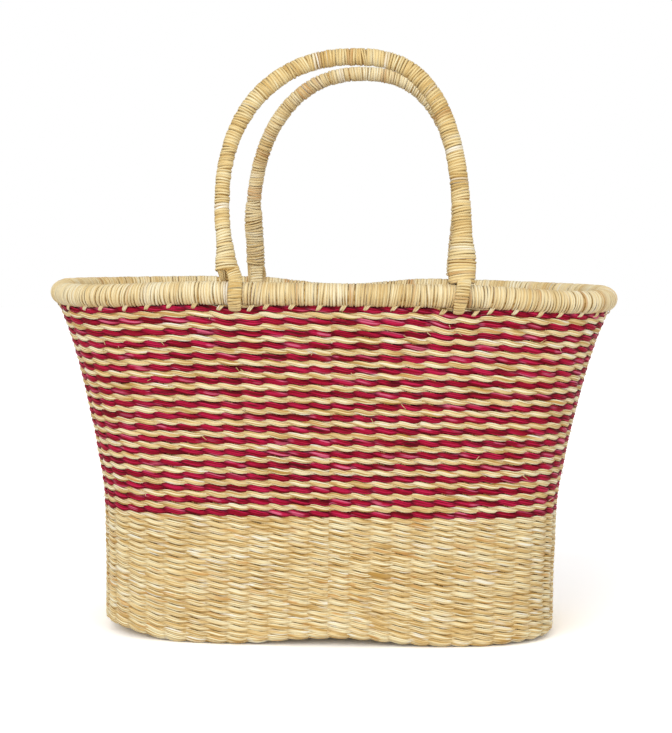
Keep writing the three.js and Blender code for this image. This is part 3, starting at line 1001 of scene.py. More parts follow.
@dataclass
class Twining:
    """Two strands that pass one before and one behind each stake, and swap between stakes."""

    swing: float = 1.3 * MM
    middle_depth: float = 2.5 * MM
    lean: float = 1.1 * MM
    crossing_half_height: float = 1.35 * MM
    front_half_height: float = 2.2 * MM
    taper: float = 0.7
    lag: float = math.radians(10)
    crossing_half_thickness: float = 1.45 * MM
    front_half_thickness: float = 1.1 * MM
    straws: int = 6
    straw_groove: float = 0.2
    sides: int = 12
    steps: int = 6
    wobble: float = 0.28 * MM
    wobble_stakes: int = 4
    unevenness: float = 0.16 * MM
    unevenness_stakes: int = 2
    size_spread: float = 0.09
    pitch_spread: float = 0.07
    strands_apart: float = 200

    def piece(
        self,
        name: str,
        surface: WallSurface | BaseSurface,
        climbs: list[float],
        seed: int,
        stakes: int = 60,
        stakes_over: int = 1,
    ) -> bpy.types.Object:
        """Weaves a run of courses.

        Args:
            name: Name of the piece.
            surface: Face that the courses lie on.
            climbs: Middle of each course.
            seed: Number of this piece's random draws.
            stakes: Stakes round the basket.
            stakes_over: How many stakes one stitch passes.

        Returns:
            The piece.
        """
        stitches = stakes // stakes_over
        rings = stitches * self.steps
        count = 2 * len(climbs)
        places = np.empty((count, rings, self.sides, 3))
        along = np.empty((count, rings + 1))
        rng = np.random.default_rng([SEED, seed])
        turn = np.arange(rings + 1) / self.steps
        pitch = turn[:-1] * stakes_over
        shared = wander(rng, pitch / self.wobble_stakes, stakes // self.wobble_stakes) * self.wobble
        few = self.unevenness_stakes
        for course, climb in enumerate(climbs):
            own = shared + wander(rng, pitch / few, stakes // few) * self.unevenness
            shift = wander(rng, pitch, stakes) * self.pitch_spread
            for strand in range(2):
                row = 2 * course + strand
                angle = math.pi * (turn - 0.5 + strand)
                bent = angle[:-1] + shift * math.pi
                places[row] = self.strand(surface, pitch, climb + own, bent, rng, stitches, turn[:-1])
                along[row] = angle / TURN + 0.5 + course * stitches
        return TubeSet(places, closed=True).piece(name, along, np.arange(count) + seed * self.strands_apart)

    def strand(
        self,
        surface: WallSurface | BaseSurface,
        pitch: np.ndarray,
        climb: np.ndarray,
        angle: np.ndarray,
        rng: np.random.Generator,
        stitches: int,
        turn: np.ndarray,
    ) -> np.ndarray:
        """Finds the sections of one strand.

        Args:
            surface: Face that the strand lies on.
            pitch: Stake spacing of each section.
            climb: Middle of the course at each section.
            angle: Angle of the twist at each section, 0 where the strand is in front.
            rng: Source of the unevenness.
            stitches: Stitches round the basket.
            turn: Stitch of each section.

        Returns:
            Points by section and side.
        """
        front = np.cos(angle)
        size = 1 + wander(rng, turn, stitches) * self.size_spread
        full = np.abs(front) ** self.taper
        height = self.crossing_half_height + (self.front_half_height - self.crossing_half_height) * full
        thinner = self.crossing_half_thickness - self.front_half_thickness
        thick = self.crossing_half_thickness - thinner * front**2
        points, up, out = surface.frames(pitch, climb - self.lean * np.sin(angle))
        out_by = self.swing * np.cos(angle - self.lag) - self.middle_depth
        out_by = out_by + wander(rng, turn, stitches) * self.unevenness
        around = np.arange(self.sides) / self.sides * TURN + math.pi
        groove = 1 + self.straw_groove * (np.cos(around * self.straws) - 1) / 2
        rise = np.outer(height * size, np.sin(around) * groove)
        lift = np.outer(thick, np.cos(around) * groove) + out_by[:, None]
        return points[:, None, :] + up[:, None, :] * rise[..., None] + out[:, None, :] * lift[..., None]


@dataclass
class Weave:
    """The twined wall and base."""

    wall: WallSurface
    finishes: Finishes
    striped_bottom: float = 93.6 * MM
    lower_courses: int = 22
    striped_courses: int = 35
    base_courses: int = 17
    base_fine_courses: int = 9
    twining: Twining = field(default_factory=Twining)

    def lower_climbs(self) -> list[float]:
        """Middles of the natural courses of the lower band and the corner."""
        pitch = self.wall.climb_at(self.striped_bottom) / self.lower_courses
        return [(course + 0.5) * pitch for course in range(self.lower_courses)]

    def striped_climbs(self) -> list[float]:
        """Middles of the courses of the striped band, red and natural in turn."""
        bottom = self.wall.climb_at(self.striped_bottom)
        pitch = (self.wall.climb_at(self.wall.top) - bottom) / self.striped_courses
        return [bottom + (course + 0.5) * pitch for course in range(self.striped_courses)]

    def build(self) -> None:
        """Weaves the lower band, the striped band and the base."""
        lower, striped = self.lower_climbs(), self.striped_climbs()
        half = len(lower) // 2
        red, natural = striped[::2], striped[1::2]
        split = len(red) // 2
        band, red_node = ("lower_band_weave",), ("red_course_winding",)
        stripes = ("natural_course_winding", "inner_wall_weave")
        runs = (
            ("lower_band_lower_courses", lower[:half], NATURAL, band),
            ("lower_band_upper_courses", lower[half:], NATURAL, band),
            ("red_lower_courses", red[:split], RED, red_node),
            ("red_upper_courses", red[split:], RED, red_node),
            ("natural_lower_stripes", natural[:split], NATURAL, stripes),
            ("natural_upper_stripes", natural[split:], NATURAL, stripes),
        )
        for seed, (name, climbs, finish, nodes) in enumerate(runs, start=1):
            piece = self.twining.piece(name, self.wall, climbs, seed)
            self.finishes.dress(piece, finish, Body.BASKET, *nodes)
        self.build_base(seed=len(runs) + 1)

    def build_base(self, seed: int) -> None:
        """Weaves the base, whose inner courses pass two stakes with each stitch.

        Args:
            seed: Number of the first piece's random draws.
        """
        base = BaseSurface(self.wall)
        pitch = base.half_depth / self.base_courses
        climbs = [-(course + 0.5) * pitch for course in range(self.base_courses)]
        outer, inner = climbs[: self.base_fine_courses], climbs[self.base_fine_courses:]
        twining = Twining(swing=2.1 * MM, middle_depth=4 * MM, front_half_thickness=1.4 * MM)
        for name, run, over in (("base_outer_courses", outer, 1), ("base_inner_courses", inner, 2)):
            piece = twining.piece(name, base, run, seed + over - 1, stakes_over=over)
            self.finishes.dress(piece, NATURAL, Body.BASKET, "base_weave_under", "base_weave_inside")


@dataclass
class Stakes:
    """The straw bundles that stand in the wall and cross in the base."""

    wall: WallSurface
    finishes: Finishes
    crosswise: int = 22
    lengthwise: int = 8
    half_width: float = 2.1 * MM
    half_thickness: float = 0.42 * MM
    depth: float = 2.7 * MM
    base_height: float = 3.6 * MM
    layer_rise: float = 1.5 * MM
    above_wall: float = 3 * MM
    under_loop: float = -3.5 * MM
    loop_pitch: float = 0.6
    wall_rings: int = 26
    base_rings: int = 12
    sides: int = 8
    stretch: float = 6
    strand_start: float = 4000

    def build(self) -> None:
        """Makes every stake as a piece of its own."""
        stakes = self.wall.oval.stakes
        for stake in range(self.crosswise):
            pitch = stake - self.crosswise / 2 + 0.5
            self.stake(f"crosswise_stake_{stake + 1:02d}", pitch, stakes / 2 - pitch, 0, stake)
        for stake in range(self.lengthwise):
            pitch = stakes / 4 - self.lengthwise / 2 + 0.5 + stake
            self.stake(f"lengthwise_stake_{stake + 1}", pitch, stakes - pitch, 1, stake + self.crosswise)

    def leg(self, pitch: float) -> tuple[np.ndarray, np.ndarray]:
        """Finds a stake's run down the wall and round the corner.

        Args:
            pitch: Where the stake stands.

        Returns:
            Points from the top down and their outward directions.
        """
        beside_loop = abs(self.wall.made.from_grip(pitch, self.wall.oval.stakes)) < self.loop_pitch
        top = self.wall.climb_at(self.wall.top) + (self.under_loop if beside_loop else self.above_wall)
        climb = np.linspace(top, 0, self.wall_rings)
        points, _, out = self.wall.frames(np.full(self.wall_rings, pitch), climb)
        return points - out * self.depth, out

    def stake(self, node: str, pitch: float, opposite: float, layer: int, number: int) -> None:
        """Makes one stake, down one wall, across the base and up the other wall.

        Args:
            node: Name of the node that it stands for.
            pitch: Where it stands at one side.
            opposite: Where it stands at the other side.
            layer: 0 for the lower layer in the base and 1 for the upper.
            number: Number among the stakes.
        """
        near, near_out = self.leg(pitch)
        far, far_out = self.leg(opposite)
        share = np.linspace(0, 1, self.base_rings + 2)[1:-1, None]
        across = near[-1] * (1 - share) + far[-1] * share
        lifted = np.minimum(1, np.minimum(share, 1 - share) * self.base_rings / 2)
        across[:, 2:] += (self.base_height - self.depth + layer * self.layer_rise) * lifted
        down = np.tile([0.0, 0.0, -1.0], (self.base_rings, 1))
        points = np.concatenate([near, across, far[::-1]])
        out = np.concatenate([near_out, down, far_out[::-1]])
        wide = unit(np.cross(unit(np.gradient(points, axis=0)), out))
        section = oval_section(wide, out, self.half_width, self.half_thickness, self.sides)
        tube = TubeSet((points[:, None, :] + section)[None])
        along = np.arange(len(points) + 1) / self.stretch
        piece = tube.piece(f"{node}_bundle", along, self.strand_start + number)
        self.finishes.dress(piece, STAKE, Body.BASKET, node)


@dataclass
class Bundle:
    """An oval bundle of straw: its middle, its two directions and half its sizes at each point."""

    spine: np.ndarray
    wide: np.ndarray
    deep: np.ndarray
    half_width: np.ndarray
    half_depth: np.ndarray

    def every(self, step: int) -> "Bundle":
        """Takes one point in each step."""
        parts = (self.spine, self.wide, self.deep, self.half_width, self.half_depth)
        return Bundle(*(part[::step] for part in parts))

    def tube(self, sides: int, gap: float) -> np.ndarray:
        """Finds the bundle's surface, a gap inside its binding.

        Args:
            sides: Points of a section.
            gap: Room below the binding.

        Returns:
            Points by section and side, as one tube.
        """
        halves = (self.half_width - gap, self.half_depth - gap)
        return (self.spine[:, None, :] + oval_section(self.wide, self.deep, *halves, sides))[None]


@dataclass
class Winding:
    """A flat straw strip wound round a bundle, turn beside turn."""

    half_width: float = 1.25 * MM
    crown: float = 0.3 * MM
    edge_drop: float = 0.28 * MM
    steps: int = 18
    slack: float = 0.42 * MM
    slack_changes: int = 2
    proud: float = 0.22 * MM
    proud_changes: int = 3
    width_spread: float = 0.3
    tilt: float = 0.7 * MM
    tilt_turns: int = 4
    tilt_phase: float = 0.0
    pinch: float = 0.0
    pinch_angle: float = math.radians(-60)
    pinch_span: Span = (0.2, 0.95)
    strand_start: float = 5000

    def section(self) -> tuple[np.ndarray, np.ndarray]:
        """Outline of the strip: places across it and heights above the bundle."""
        across = np.array([1.0, 0.5, -0.5, -1.0, -0.5, 0.5])
        high = np.array([-self.edge_drop, self.crown, self.crown, -self.edge_drop, -self.crown, -self.crown])
        return across, high

    def wind(
        self, name: str, bundle: Bundle, turns: int, seed: int, closed: bool = False
    ) -> bpy.types.Object:
        """Winds the strip round a bundle.

        Args:
            name: Name of the piece.
            bundle: The bundle, with a point for each step of the strip.
            turns: Count of turns.
            seed: Number of this piece's random draws.
            closed: True where the bundle runs into itself.

        Returns:
            The piece.
        """
        rng = np.random.default_rng([SEED, seed])
        count = len(bundle.spine)
        turn = np.arange(count) / self.steps
        angle = turn * TURN
        wide, deep = bundle.wide, bundle.deep
        across, along = np.cos(angle), np.sin(angle)
        radius = wide * (across * bundle.half_width)[:, None] + deep * (along * bundle.half_depth)[:, None]
        normal = wide * (across / bundle.half_width)[:, None] + deep * (along / bundle.half_depth)[:, None]
        normal = unit(normal)
        run = np.cross(wide, deep)
        tilt = wander(rng, turn / self.tilt_turns, turns // self.tilt_turns) * self.tilt
        slip = wander(rng, turn * self.slack_changes, turns * self.slack_changes) * self.slack
        slip = slip + tilt * np.sin(angle + self.tilt_phase)
        proud = wander(rng, turn * self.proud_changes, turns * self.proud_changes) * self.proud
        width = self.half_width * (1 + wander(rng, turn, turns) * self.width_spread)
        pinched = smooth_step(*self.pinch_span, np.cos(angle - self.pinch_angle))
        width = width * (1 - self.pinch * pinched * (0.5 + 0.5 * wander(rng, turn, turns)))
        side, high = self.section()
        centre = bundle.spine + radius + run * slip[:, None] + normal * proud[:, None]
        places = (
            centre[:, None, :]
            + run[:, None, :] * np.outer(width, side)[..., None]
            + normal[:, None, :] * high[None, :, None]
        )
        strip = TubeSet(places[None], closed)
        return strip.piece(name, np.arange(count + 1) / self.steps, self.strand_start + seed)


@dataclass
class Rim:
    """The rolled rim: a bundle of straw round the mouth, bound with a strip."""

    wall: WallSurface
    finishes: Finishes
    axis_height: float
    radius: float = 8.2 * MM
    flatness: float = 0.98
    inset: float = 3.3 * MM
    stretch: float = 6
    core_strand: float = 4100
    turns: int = 480
    core_gap: float = 0.5 * MM
    core_rings: int = 360
    core_sides: int = 16
    strip: Winding = field(
        default_factory=lambda: Winding(
            half_width=1.4 * MM, edge_drop=0.24 * MM, slack=0.6 * MM, tilt=1.1 * MM, tilt_turns=3, pinch=0.45
        )
    )
    seed: int = 20

    def bundle(self, count: int, radius: float) -> Bundle:
        """Finds the rim's bundle.

        Args:
            count: Points round the rim.
            radius: Half its width.

        Returns:
            The bundle.
        """
        oval = self.wall.oval
        pitch = np.arange(count) / count * oval.stakes
        whole = np.ones_like(pitch)
        out = oval.outward(pitch, whole)
        plan = oval.point(pitch, whole) - out * self.inset
        drop = self.wall.made.droop(plan, oval.top_half_width, oval.top_half_depth)
        points = np.concatenate([plan, (self.axis_height - drop)[:, None]], axis=-1)
        level = np.concatenate([out, np.zeros((count, 1))], axis=-1)
        up = np.tile([0.0, 0.0, 1.0], (count, 1))
        return Bundle(points, level, up, whole * radius, whole * radius * self.flatness)

    def build(self) -> None:
        """Makes the bundle and its binding."""
        outer = self.bundle(self.turns * self.strip.steps, self.radius)
        binding = self.strip.wind("rim_binding_strip", outer, self.turns, self.seed, closed=True)
        self.finishes.dress(binding, RIM_BINDING, Body.BASKET, "rim_binding")
        inner = self.bundle(self.core_rings, self.radius - self.core_gap)
        tube = TubeSet(inner.tube(self.core_sides, gap=0), closed=True)
        core = tube.piece("rim_core_bundle", np.arange(self.core_rings + 1) / self.stretch, self.core_strand)
        self.finishes.dress(core, CORE, Body.BASKET, "rim_core")


@dataclass(frozen=True)
class Leg:
    """A handle's leg and its side of the arch.

    Places run along the rim from the hinge's middle, and heights run up from it.
    """

    foot: float
    spring: float
    spring_height: float
    exponent: float
    loop: float
    slant: float
    bottom: float
    widths: tuple[Span, ...]


@dataclass(frozen=True)
class HandleForm:
    """Form of one handle, in its own frame."""

    left: Leg
    right: Leg
    crown_place: float
    crown_height: float
    raw_side: float
    finish: StrawFinish


FRONT_FORM = HandleForm(
    left=Leg(
        foot=-83.4 * MM, spring=-87.4 * MM, spring_height=67.6 * MM, exponent=2.19,
        loop=-75.9 * MM, slant=0.03, bottom=16.4 * MM,
        widths=(
            (0, 15.8), (21, 15.6), (25, 14.9), (33.5, 12.2), (42, 10.9), (100, 10.8), (140, 12.7),
            (200, 12.7),
        ),
    ),
    right=Leg(
        foot=83 * MM, spring=83.5 * MM, spring_height=17.8 * MM, exponent=2.72,
        loop=85 * MM, slant=0.18, bottom=9.6 * MM,
        widths=(
            (0, 18.4), (16, 19.7), (25, 20.4), (33.5, 18), (42, 14.9), (50, 14), (67, 13.6),
            (78, 13.2), (110, 13), (140, 12.7), (200, 12.7),
        ),
    ),
    crown_place=6 * MM,
    crown_height=172.6 * MM,
    raw_side=-1,
    finish=BINDING,
)
REAR_FORM = HandleForm(
    left=Leg(
        foot=-88.6 * MM, spring=-89.2 * MM, spring_height=50 * MM, exponent=2.45,
        loop=-88.6 * MM, slant=-0.1, bottom=12 * MM,
        widths=((0, 17), (30, 16.4), (42, 14.4), (60, 12.5), (100, 11.4), (200, 11.4)),
    ),
    right=Leg(
        foot=74.1 * MM, spring=75.9 * MM, spring_height=51.5 * MM, exponent=2.22,
        loop=71 * MM, slant=0, bottom=19 * MM,
        widths=((0, 15), (33, 14.7), (58, 14.7), (70, 11.6), (100, 11.3), (200, 11.4)),
    ),
    crown_place=-10.9 * MM,
    crown_height=172.4 * MM,
    raw_side=1,
    finish=RIM_BINDING,
)


@dataclass
class Handle:
    """A wound arch with a wound loop round the rim at each foot."""

    name: str
    body: Body
    pivot: Vector
    axis: Vector
    form: HandleForm
    rim: Rim
    finishes: Finishes
    seed: int
    lean: float = math.radians(10.9)
    turn_pitch: float = 2.05 * MM
    thin: float = 11.2 * MM
    deep_share: float = 0.28
    core_gap: float = 0.45 * MM
    core_sides: int = 14
    bundle_stretch: float = 6
    core_strand: float = 4200
    samples: int = 1201
    leg_samples: int = 200
    arch_strip: Winding = field(
        default_factory=lambda: Winding(
            half_width=1.2 * MM, crown=0.28 * MM, steps=14, slack=0.5 * MM, proud=0.3 * MM,
            tilt=1 * MM, tilt_turns=3, tilt_phase=QUARTER_TURN,
        )
    )
    loop_strip: Winding = field(
        default_factory=lambda: Winding(
            half_width=1.3 * MM, crown=0.3 * MM, steps=12, slack=0.3 * MM, proud=0.12 * MM, tilt=0.3 * MM
        )
    )
    loop_gap: float = 2.1 * MM
    loop_half_width: float = 4.7 * MM
    loop_half_thickness: float = 1.15 * MM
    loop_narrowing: float = 0.3
    loop_pitch: float = 2.2 * MM
    loop_leave: float = math.radians(32)
    loop_into_leg: float = 4 * MM
    loop_start_share: float = 0.4
    loop_back_share: float = 0.6
    loop_samples: int = 60
    loop_smooth: int = 21
    loop_bundle_parts: int = 3
    foot_ease: float = 46 * MM
    straws: int = 14
    straw_radius: float = 0.6 * MM
    straw_sizes: Span = (0.7, 1.15)
    straw_taper: float = 0.35
    straw_rings: int = 12
    straw_sides: int = 6
    straw_start: float = 0.45
    straw_start_spread: float = 0.42
    straw_beside: float = 0.6 * MM
    straw_beside_spread: float = 1 * MM
    straw_gap: float = 2.2 * MM
    straw_gap_spread: float = 0.6 * MM
    straw_turn: float = 85
    straw_turn_spread: float = 30
    straw_drop_share: float = 0.5
    straw_into_leg: float = 3 * MM
    straw_deep_spread: float = 2.4 * MM

    def __post_init__(self) -> None:
        """Sets up the handle's own directions: along the rim, back into the basket and up the handle."""
        up = np.array([0.0, 0.0, 1.0])
        along = np.array(self.axis)
        inward = np.cross(up, along)
        tip = up * math.cos(self.lean) + inward * math.sin(self.lean)
        back = inward * math.cos(self.lean) - up * math.sin(self.lean)
        self.turned = np.stack([along, back, tip])

    def world(self, local: np.ndarray) -> np.ndarray:
        """Moves points from the handle's own frame to the basket's."""
        return np.array(self.pivot) + local @ self.turned

    def side(self, leg: Leg) -> np.ndarray:
        """Finds one side of the arch's middle line.

        Args:
            leg: The leg of that side.

        Returns:
            Places and heights from the leg's bottom to the crown.
        """
        form = self.form
        angle = np.linspace(0, QUARTER_TURN, self.samples)
        power = 2 / leg.exponent
        across = form.crown_place + (leg.spring - form.crown_place) * np.clip(np.cos(angle), 0, 1) ** power
        high = leg.spring_height + (form.crown_height - leg.spring_height) * np.sin(angle) ** power
        below = np.linspace(leg.bottom, leg.spring_height, self.leg_samples)[:-1]
        line = np.stack([np.append(np.full(len(below), leg.spring), across), np.append(below, high)], axis=-1)
        away = 1 - smooth_step(leg.bottom, leg.bottom + self.foot_ease, line[:, 1])
        line[:, 0] += (leg.foot - leg.spring) * away
        return line

    def arch(self) -> np.ndarray:
        """Finds the arch's middle line from the left foot over the crown to the right foot."""
        line = np.concatenate([self.side(self.form.left), self.side(self.form.right)[-2::-1]])
        return np.stack([line[:, 0], np.zeros(len(line)), line[:, 1]], axis=-1)

    def widths(self, line: np.ndarray) -> np.ndarray:
        """Width of the bound handle at points of its middle line."""
        left, right = (np.array(leg.widths).T * MM for leg in (self.form.left, self.form.right))
        sides = [np.interp(line[:, 2], heights, widths) for heights, widths in (left, right)]
        return np.where(line[:, 0] < 0, sides[0], sides[1])

    def build(self) -> None:
        """Makes the arch's binding and core, the two loops and the raw straw at the feet."""
        line = self.arch()
        strip = self.arch_strip
        turns = int(run_along(line)[-1] / self.turn_pitch)
        spine = spread_evenly(line, turns * strip.steps)
        ahead = unit(np.gradient(spine, axis=0))
        deep = np.tile([0.0, 1.0, 0.0], (len(spine), 1))
        wide = np.cross(deep, ahead)
        half = self.widths(spine) / 2 - strip.crown
        half_deep = self.thin / 2 - strip.crown + (half - self.thin / 2) * self.deep_share
        arch = Bundle(self.world(spine), wide @ self.turned, deep @ self.turned, half, half_deep)
        binding = strip.wind(f"{self.name}_binding_strip", arch, turns, self.seed)
        self.finishes.dress(binding, self.form.finish, self.body, f"{self.name}_binding")
        self.core(f"{self.name}_core_bundle", arch.every(strip.steps), 0)
        for number, leg in enumerate((self.form.left, self.form.right), start=1):
            self.build_loop(leg, number)
            self.build_raw_straw(leg, number)

    def core(self, name: str, bundle: Bundle, number: int) -> None:
        """Makes the bundle of straw inside a binding.

        Args:
            name: Name of the piece.
            bundle: The bundle.
            number: Number among the handle's bundles.
        """
        tube = TubeSet(bundle.tube(self.core_sides, self.core_gap))
        along = np.arange(len(bundle.spine) + 1) / self.bundle_stretch
        piece = tube.piece(name, along, self.core_strand + self.seed + number)
        self.finishes.dress(piece, CORE, self.body, f"{self.name}_core")

    def loop_line(self, leg: Leg) -> np.ndarray:
        """Finds the middle line of a loop, from inside its leg round the hinge's line and back up."""
        radius = self.rim.radius + self.loop_gap + self.loop_half_thickness + self.loop_strip.crown
        angle = np.linspace(self.loop_leave, TURN - self.loop_leave, self.loop_samples)
        back = smooth_step(math.pi, TURN - self.loop_leave, angle)
        across = leg.loop + leg.slant * (np.cos(angle) - 1) * radius
        across = across + (leg.foot - leg.loop) * self.loop_back_share * back
        ring = np.stack([across, -radius * np.sin(angle), radius * np.cos(angle)], axis=-1)
        top = leg.bottom + self.loop_into_leg
        start = np.array([[leg.foot + (leg.loop - leg.foot) * self.loop_start_share, 0.0, top]])
        end = np.array([[ring[-1, 0], 0.0, top]])
        even = spread_evenly(np.concatenate([start, ring, end]), self.leg_samples)
        padded = np.pad(even, ((self.loop_smooth // 2, self.loop_smooth // 2), (0, 0)), mode="edge")
        kernel = np.ones(self.loop_smooth) / self.loop_smooth
        return np.stack([np.convolve(padded[:, k], kernel, mode="valid") for k in range(3)], axis=-1)

    def build_loop(self, leg: Leg, number: int) -> None:
        """Makes one wound loop round the rim.

        Args:
            leg: The leg that it hangs from.
            number: Number of the loop.
        """
        line = self.loop_line(leg)
        strip = self.loop_strip
        turns = int(run_along(line)[-1] / self.loop_pitch)
        spine = spread_evenly(line, turns * strip.steps)
        ahead = unit(np.gradient(spine, axis=0))
        wide = np.tile([1.0, 0.0, 0.0], (len(spine), 1))
        wide = unit(wide - ahead * (wide * ahead).sum(axis=-1, keepdims=True))
        deep = np.cross(ahead, wide)
        low = np.clip(-spine[:, 2] / np.abs(spine[:, 2]).max(), 0, 1)
        half = self.loop_half_width * (1 - self.loop_narrowing * low**2)
        thick = np.full(len(spine), self.loop_half_thickness)
        bundle = Bundle(self.world(spine), wide @ self.turned, deep @ self.turned, half, thick)
        loop = strip.wind(f"{self.name}_loop_{number}", bundle, turns, self.seed + number)
        self.finishes.dress(loop, self.form.finish, self.body)
        inside = bundle.every(strip.steps // self.loop_bundle_parts)
        self.core(f"{self.name}_loop_{number}_bundle", inside, number)

    def build_raw_straw(self, leg: Leg, number: int) -> None:
        """Makes the bare straws that show beside a loop, where they leave the leg and go behind the rim.

        Args:
            leg: The leg that they belong to.
            number: Number of the leg.
        """
        rng = np.random.default_rng([SEED, self.seed, number])
        half = np.interp(leg.bottom, *(np.array(leg.widths).T * MM)) / 2
        side = self.form.raw_side
        places = np.empty((self.straws, self.straw_rings, self.straw_sides, 3))
        share = np.linspace(0, 1, self.straw_rings)
        drop = smooth_step(0, self.straw_drop_share, share)
        top = leg.bottom + self.straw_into_leg
        for straw in range(self.straws):
            spread = rng.uniform(-1, 1, 2)
            start = leg.foot + side * half * self.straw_start + spread[0] * half * self.straw_start_spread
            beside = self.loop_half_width + self.straw_beside + spread[0] * self.straw_beside_spread
            end = leg.loop + side * beside
            out = self.rim.radius + self.straw_gap + self.straw_gap_spread * spread[1]
            angle = -share * math.radians(self.straw_turn + self.straw_turn_spread * rng.uniform(0, 1))
            place = start + (end - start) * smooth_step(0, 1, share)
            deep = -out * np.sin(angle) * drop + spread[1] * self.straw_deep_spread * (1 - drop)
            high = top * (1 - drop) + out * np.cos(angle) * drop
            spine = np.stack([place, deep, high], axis=-1)
            ahead = unit(np.gradient(spine, axis=0))
            first = unit(np.cross(ahead, [0.0, 1.0, 0.2]))
            second = np.cross(ahead, first)
            radius = self.straw_radius * rng.uniform(*self.straw_sizes) * (1 - self.straw_taper * share)
            ring = oval_section(first, second, radius, radius, self.straw_sides)
            places[straw] = self.world(spine[:, None, :] + ring)
        along = np.arange(self.straw_rings + 1) / self.straw_rings
        strands = self.core_strand + self.seed * 10.0 + number * 20 + np.arange(self.straws)
        piece = TubeSet(places).piece(f"{self.name}_raw_straw_{number}", along, strands)
        self.finishes.dress(piece, self.form.finish, self.body)


@dataclass
class StitchSet:
    """Short slanted stitches that tie the rim to the top course, one at each stake."""

    wall: WallSurface
    finishes: Finishes
    strands: int = 3
    rings: int = 9
    sides: int = 8
    above: float = 1.6 * MM
    reach: float = 3.4 * MM
    slant_pitch: float = 0.17
    loop_pitch: float = 0.6
    strand_half_width: float = 0.6 * MM
    strand_half_thickness: float = 0.45 * MM
    out: float = 0.25 * MM
    bulge: float = 0.5 * MM
    tuck: float = 1.2 * MM
    tuck_from: float = 0.8
    end_share: float = 0.75
    offset_spread: float = 0.08
    reach_shares: Span = (0.75, 1.1)
    strand_shares: Span = (0.85, 1)
    strand_pitch: float = 0.07
    splay_top: float = 1.15
    splay_loss: float = 0.5
    slant_from: float = 0.3
    seed: int = 60
    strand_start: float = 6000

    def build(self) -> None:
        """Makes the stitches as one piece."""
        stakes = self.wall.oval.stakes
        rng = np.random.default_rng([SEED, self.seed])
        count = stakes * self.strands
        places = np.empty((count, self.rings, self.sides, 3))
        share = np.linspace(0, 1, self.rings)
        top = self.wall.climb_at(self.wall.top)
        for stake in range(stakes):
            offset = rng.uniform(-self.offset_spread, self.offset_spread)
            reach = self.reach * rng.uniform(*self.reach_shares)
            away = self.wall.made.from_grip(stake + 0.5, stakes)
            if abs(away) < self.loop_pitch:
                offset += math.copysign(self.loop_pitch, away) - away
            for strand in range(self.strands):
                row = stake * self.strands + strand
                side = (strand - (self.strands - 1) / 2) * self.strand_pitch
                splay = self.splay_top - self.splay_loss * share
                slant = self.slant_pitch * (share - self.slant_from)
                pitch = stake + 0.5 + offset + side * splay - slant
                length = self.above + reach * rng.uniform(*self.strand_shares)
                points, _, out = self.wall.frames(pitch, top + self.above - length * share)
                wide = np.cross(unit(np.gradient(points, axis=0)), out)
                bulge = np.sin(share * math.pi)
                lift = self.out + self.bulge * bulge - self.tuck * smooth_step(self.tuck_from, 1, share)
                half = self.strand_half_width * (self.end_share + (1 - self.end_share) * bulge)
                section = oval_section(wide, out, half, self.strand_half_thickness, self.sides)
                places[row] = (points + out * lift[:, None])[:, None, :] + section
        along = np.arange(self.rings + 1) / self.rings
        piece = TubeSet(places).piece("rim_stitches", along, self.strand_start + np.arange(count))
        self.finishes.dress(piece, RIM_BINDING, Body.BASKET)


@dataclass
class CutEnds:
    """Cut ends of straw that stand a little proud of the courses."""

    wall: WallSurface
    finishes: Finishes
    count: int = 90
    rings: int = 6
    sides: int = 6
    radius: float = 0.34 * MM
    shortest: float = 2.2 * MM
    longest: float = 5.2 * MM
    stand: float = 1.1 * MM
    root_depth: float = 0.9 * MM
    taper: float = 0.55
    tilts: Span = (0.25, 1.3)
    pitch_spread: float = 0.2
    lowest: float = 98 * MM
    seed: int = 61
    strand_start: float = 6500

    def build(self) -> None:
        """Makes the ends as one piece."""
        rng = np.random.default_rng([SEED, self.seed])
        places = np.empty((self.count, self.rings, self.sides, 3))
        share = np.linspace(0, 1, self.rings)
        for end in range(self.count):
            length = rng.uniform(self.shortest, self.longest)
            tilt = rng.uniform(*self.tilts) * rng.choice([-1, 1])
            height = rng.uniform(self.lowest, self.wall.top - length)
            stake = rng.integers(0, self.wall.oval.stakes)
            pitch = np.full(self.rings, stake + rng.uniform(-self.pitch_spread, self.pitch_spread))
            points, up, out = self.wall.frames(pitch, np.full(self.rings, self.wall.climb_at(height)))
            side = np.cross(up, out)
            run = up * math.sin(tilt) + side * math.cos(tilt)
            lift = (self.stand * share**2 - self.root_depth * (1 - share) ** 2)[:, None]
            spine = points + run * (share * length)[:, None] + out * lift
            radius = self.radius * (1 - self.taper * share)
            section = oval_section(np.cross(run, out), out, radius, radius, self.sides)
            places[end] = spine[:, None, :] + section
        along = np.arange(self.rings + 1) / self.rings
        piece = TubeSet(places).piece("cut_straw_ends", along, self.strand_start + np.arange(self.count))
        self.finishes.dress(piece, BINDING, Body.BASKET)


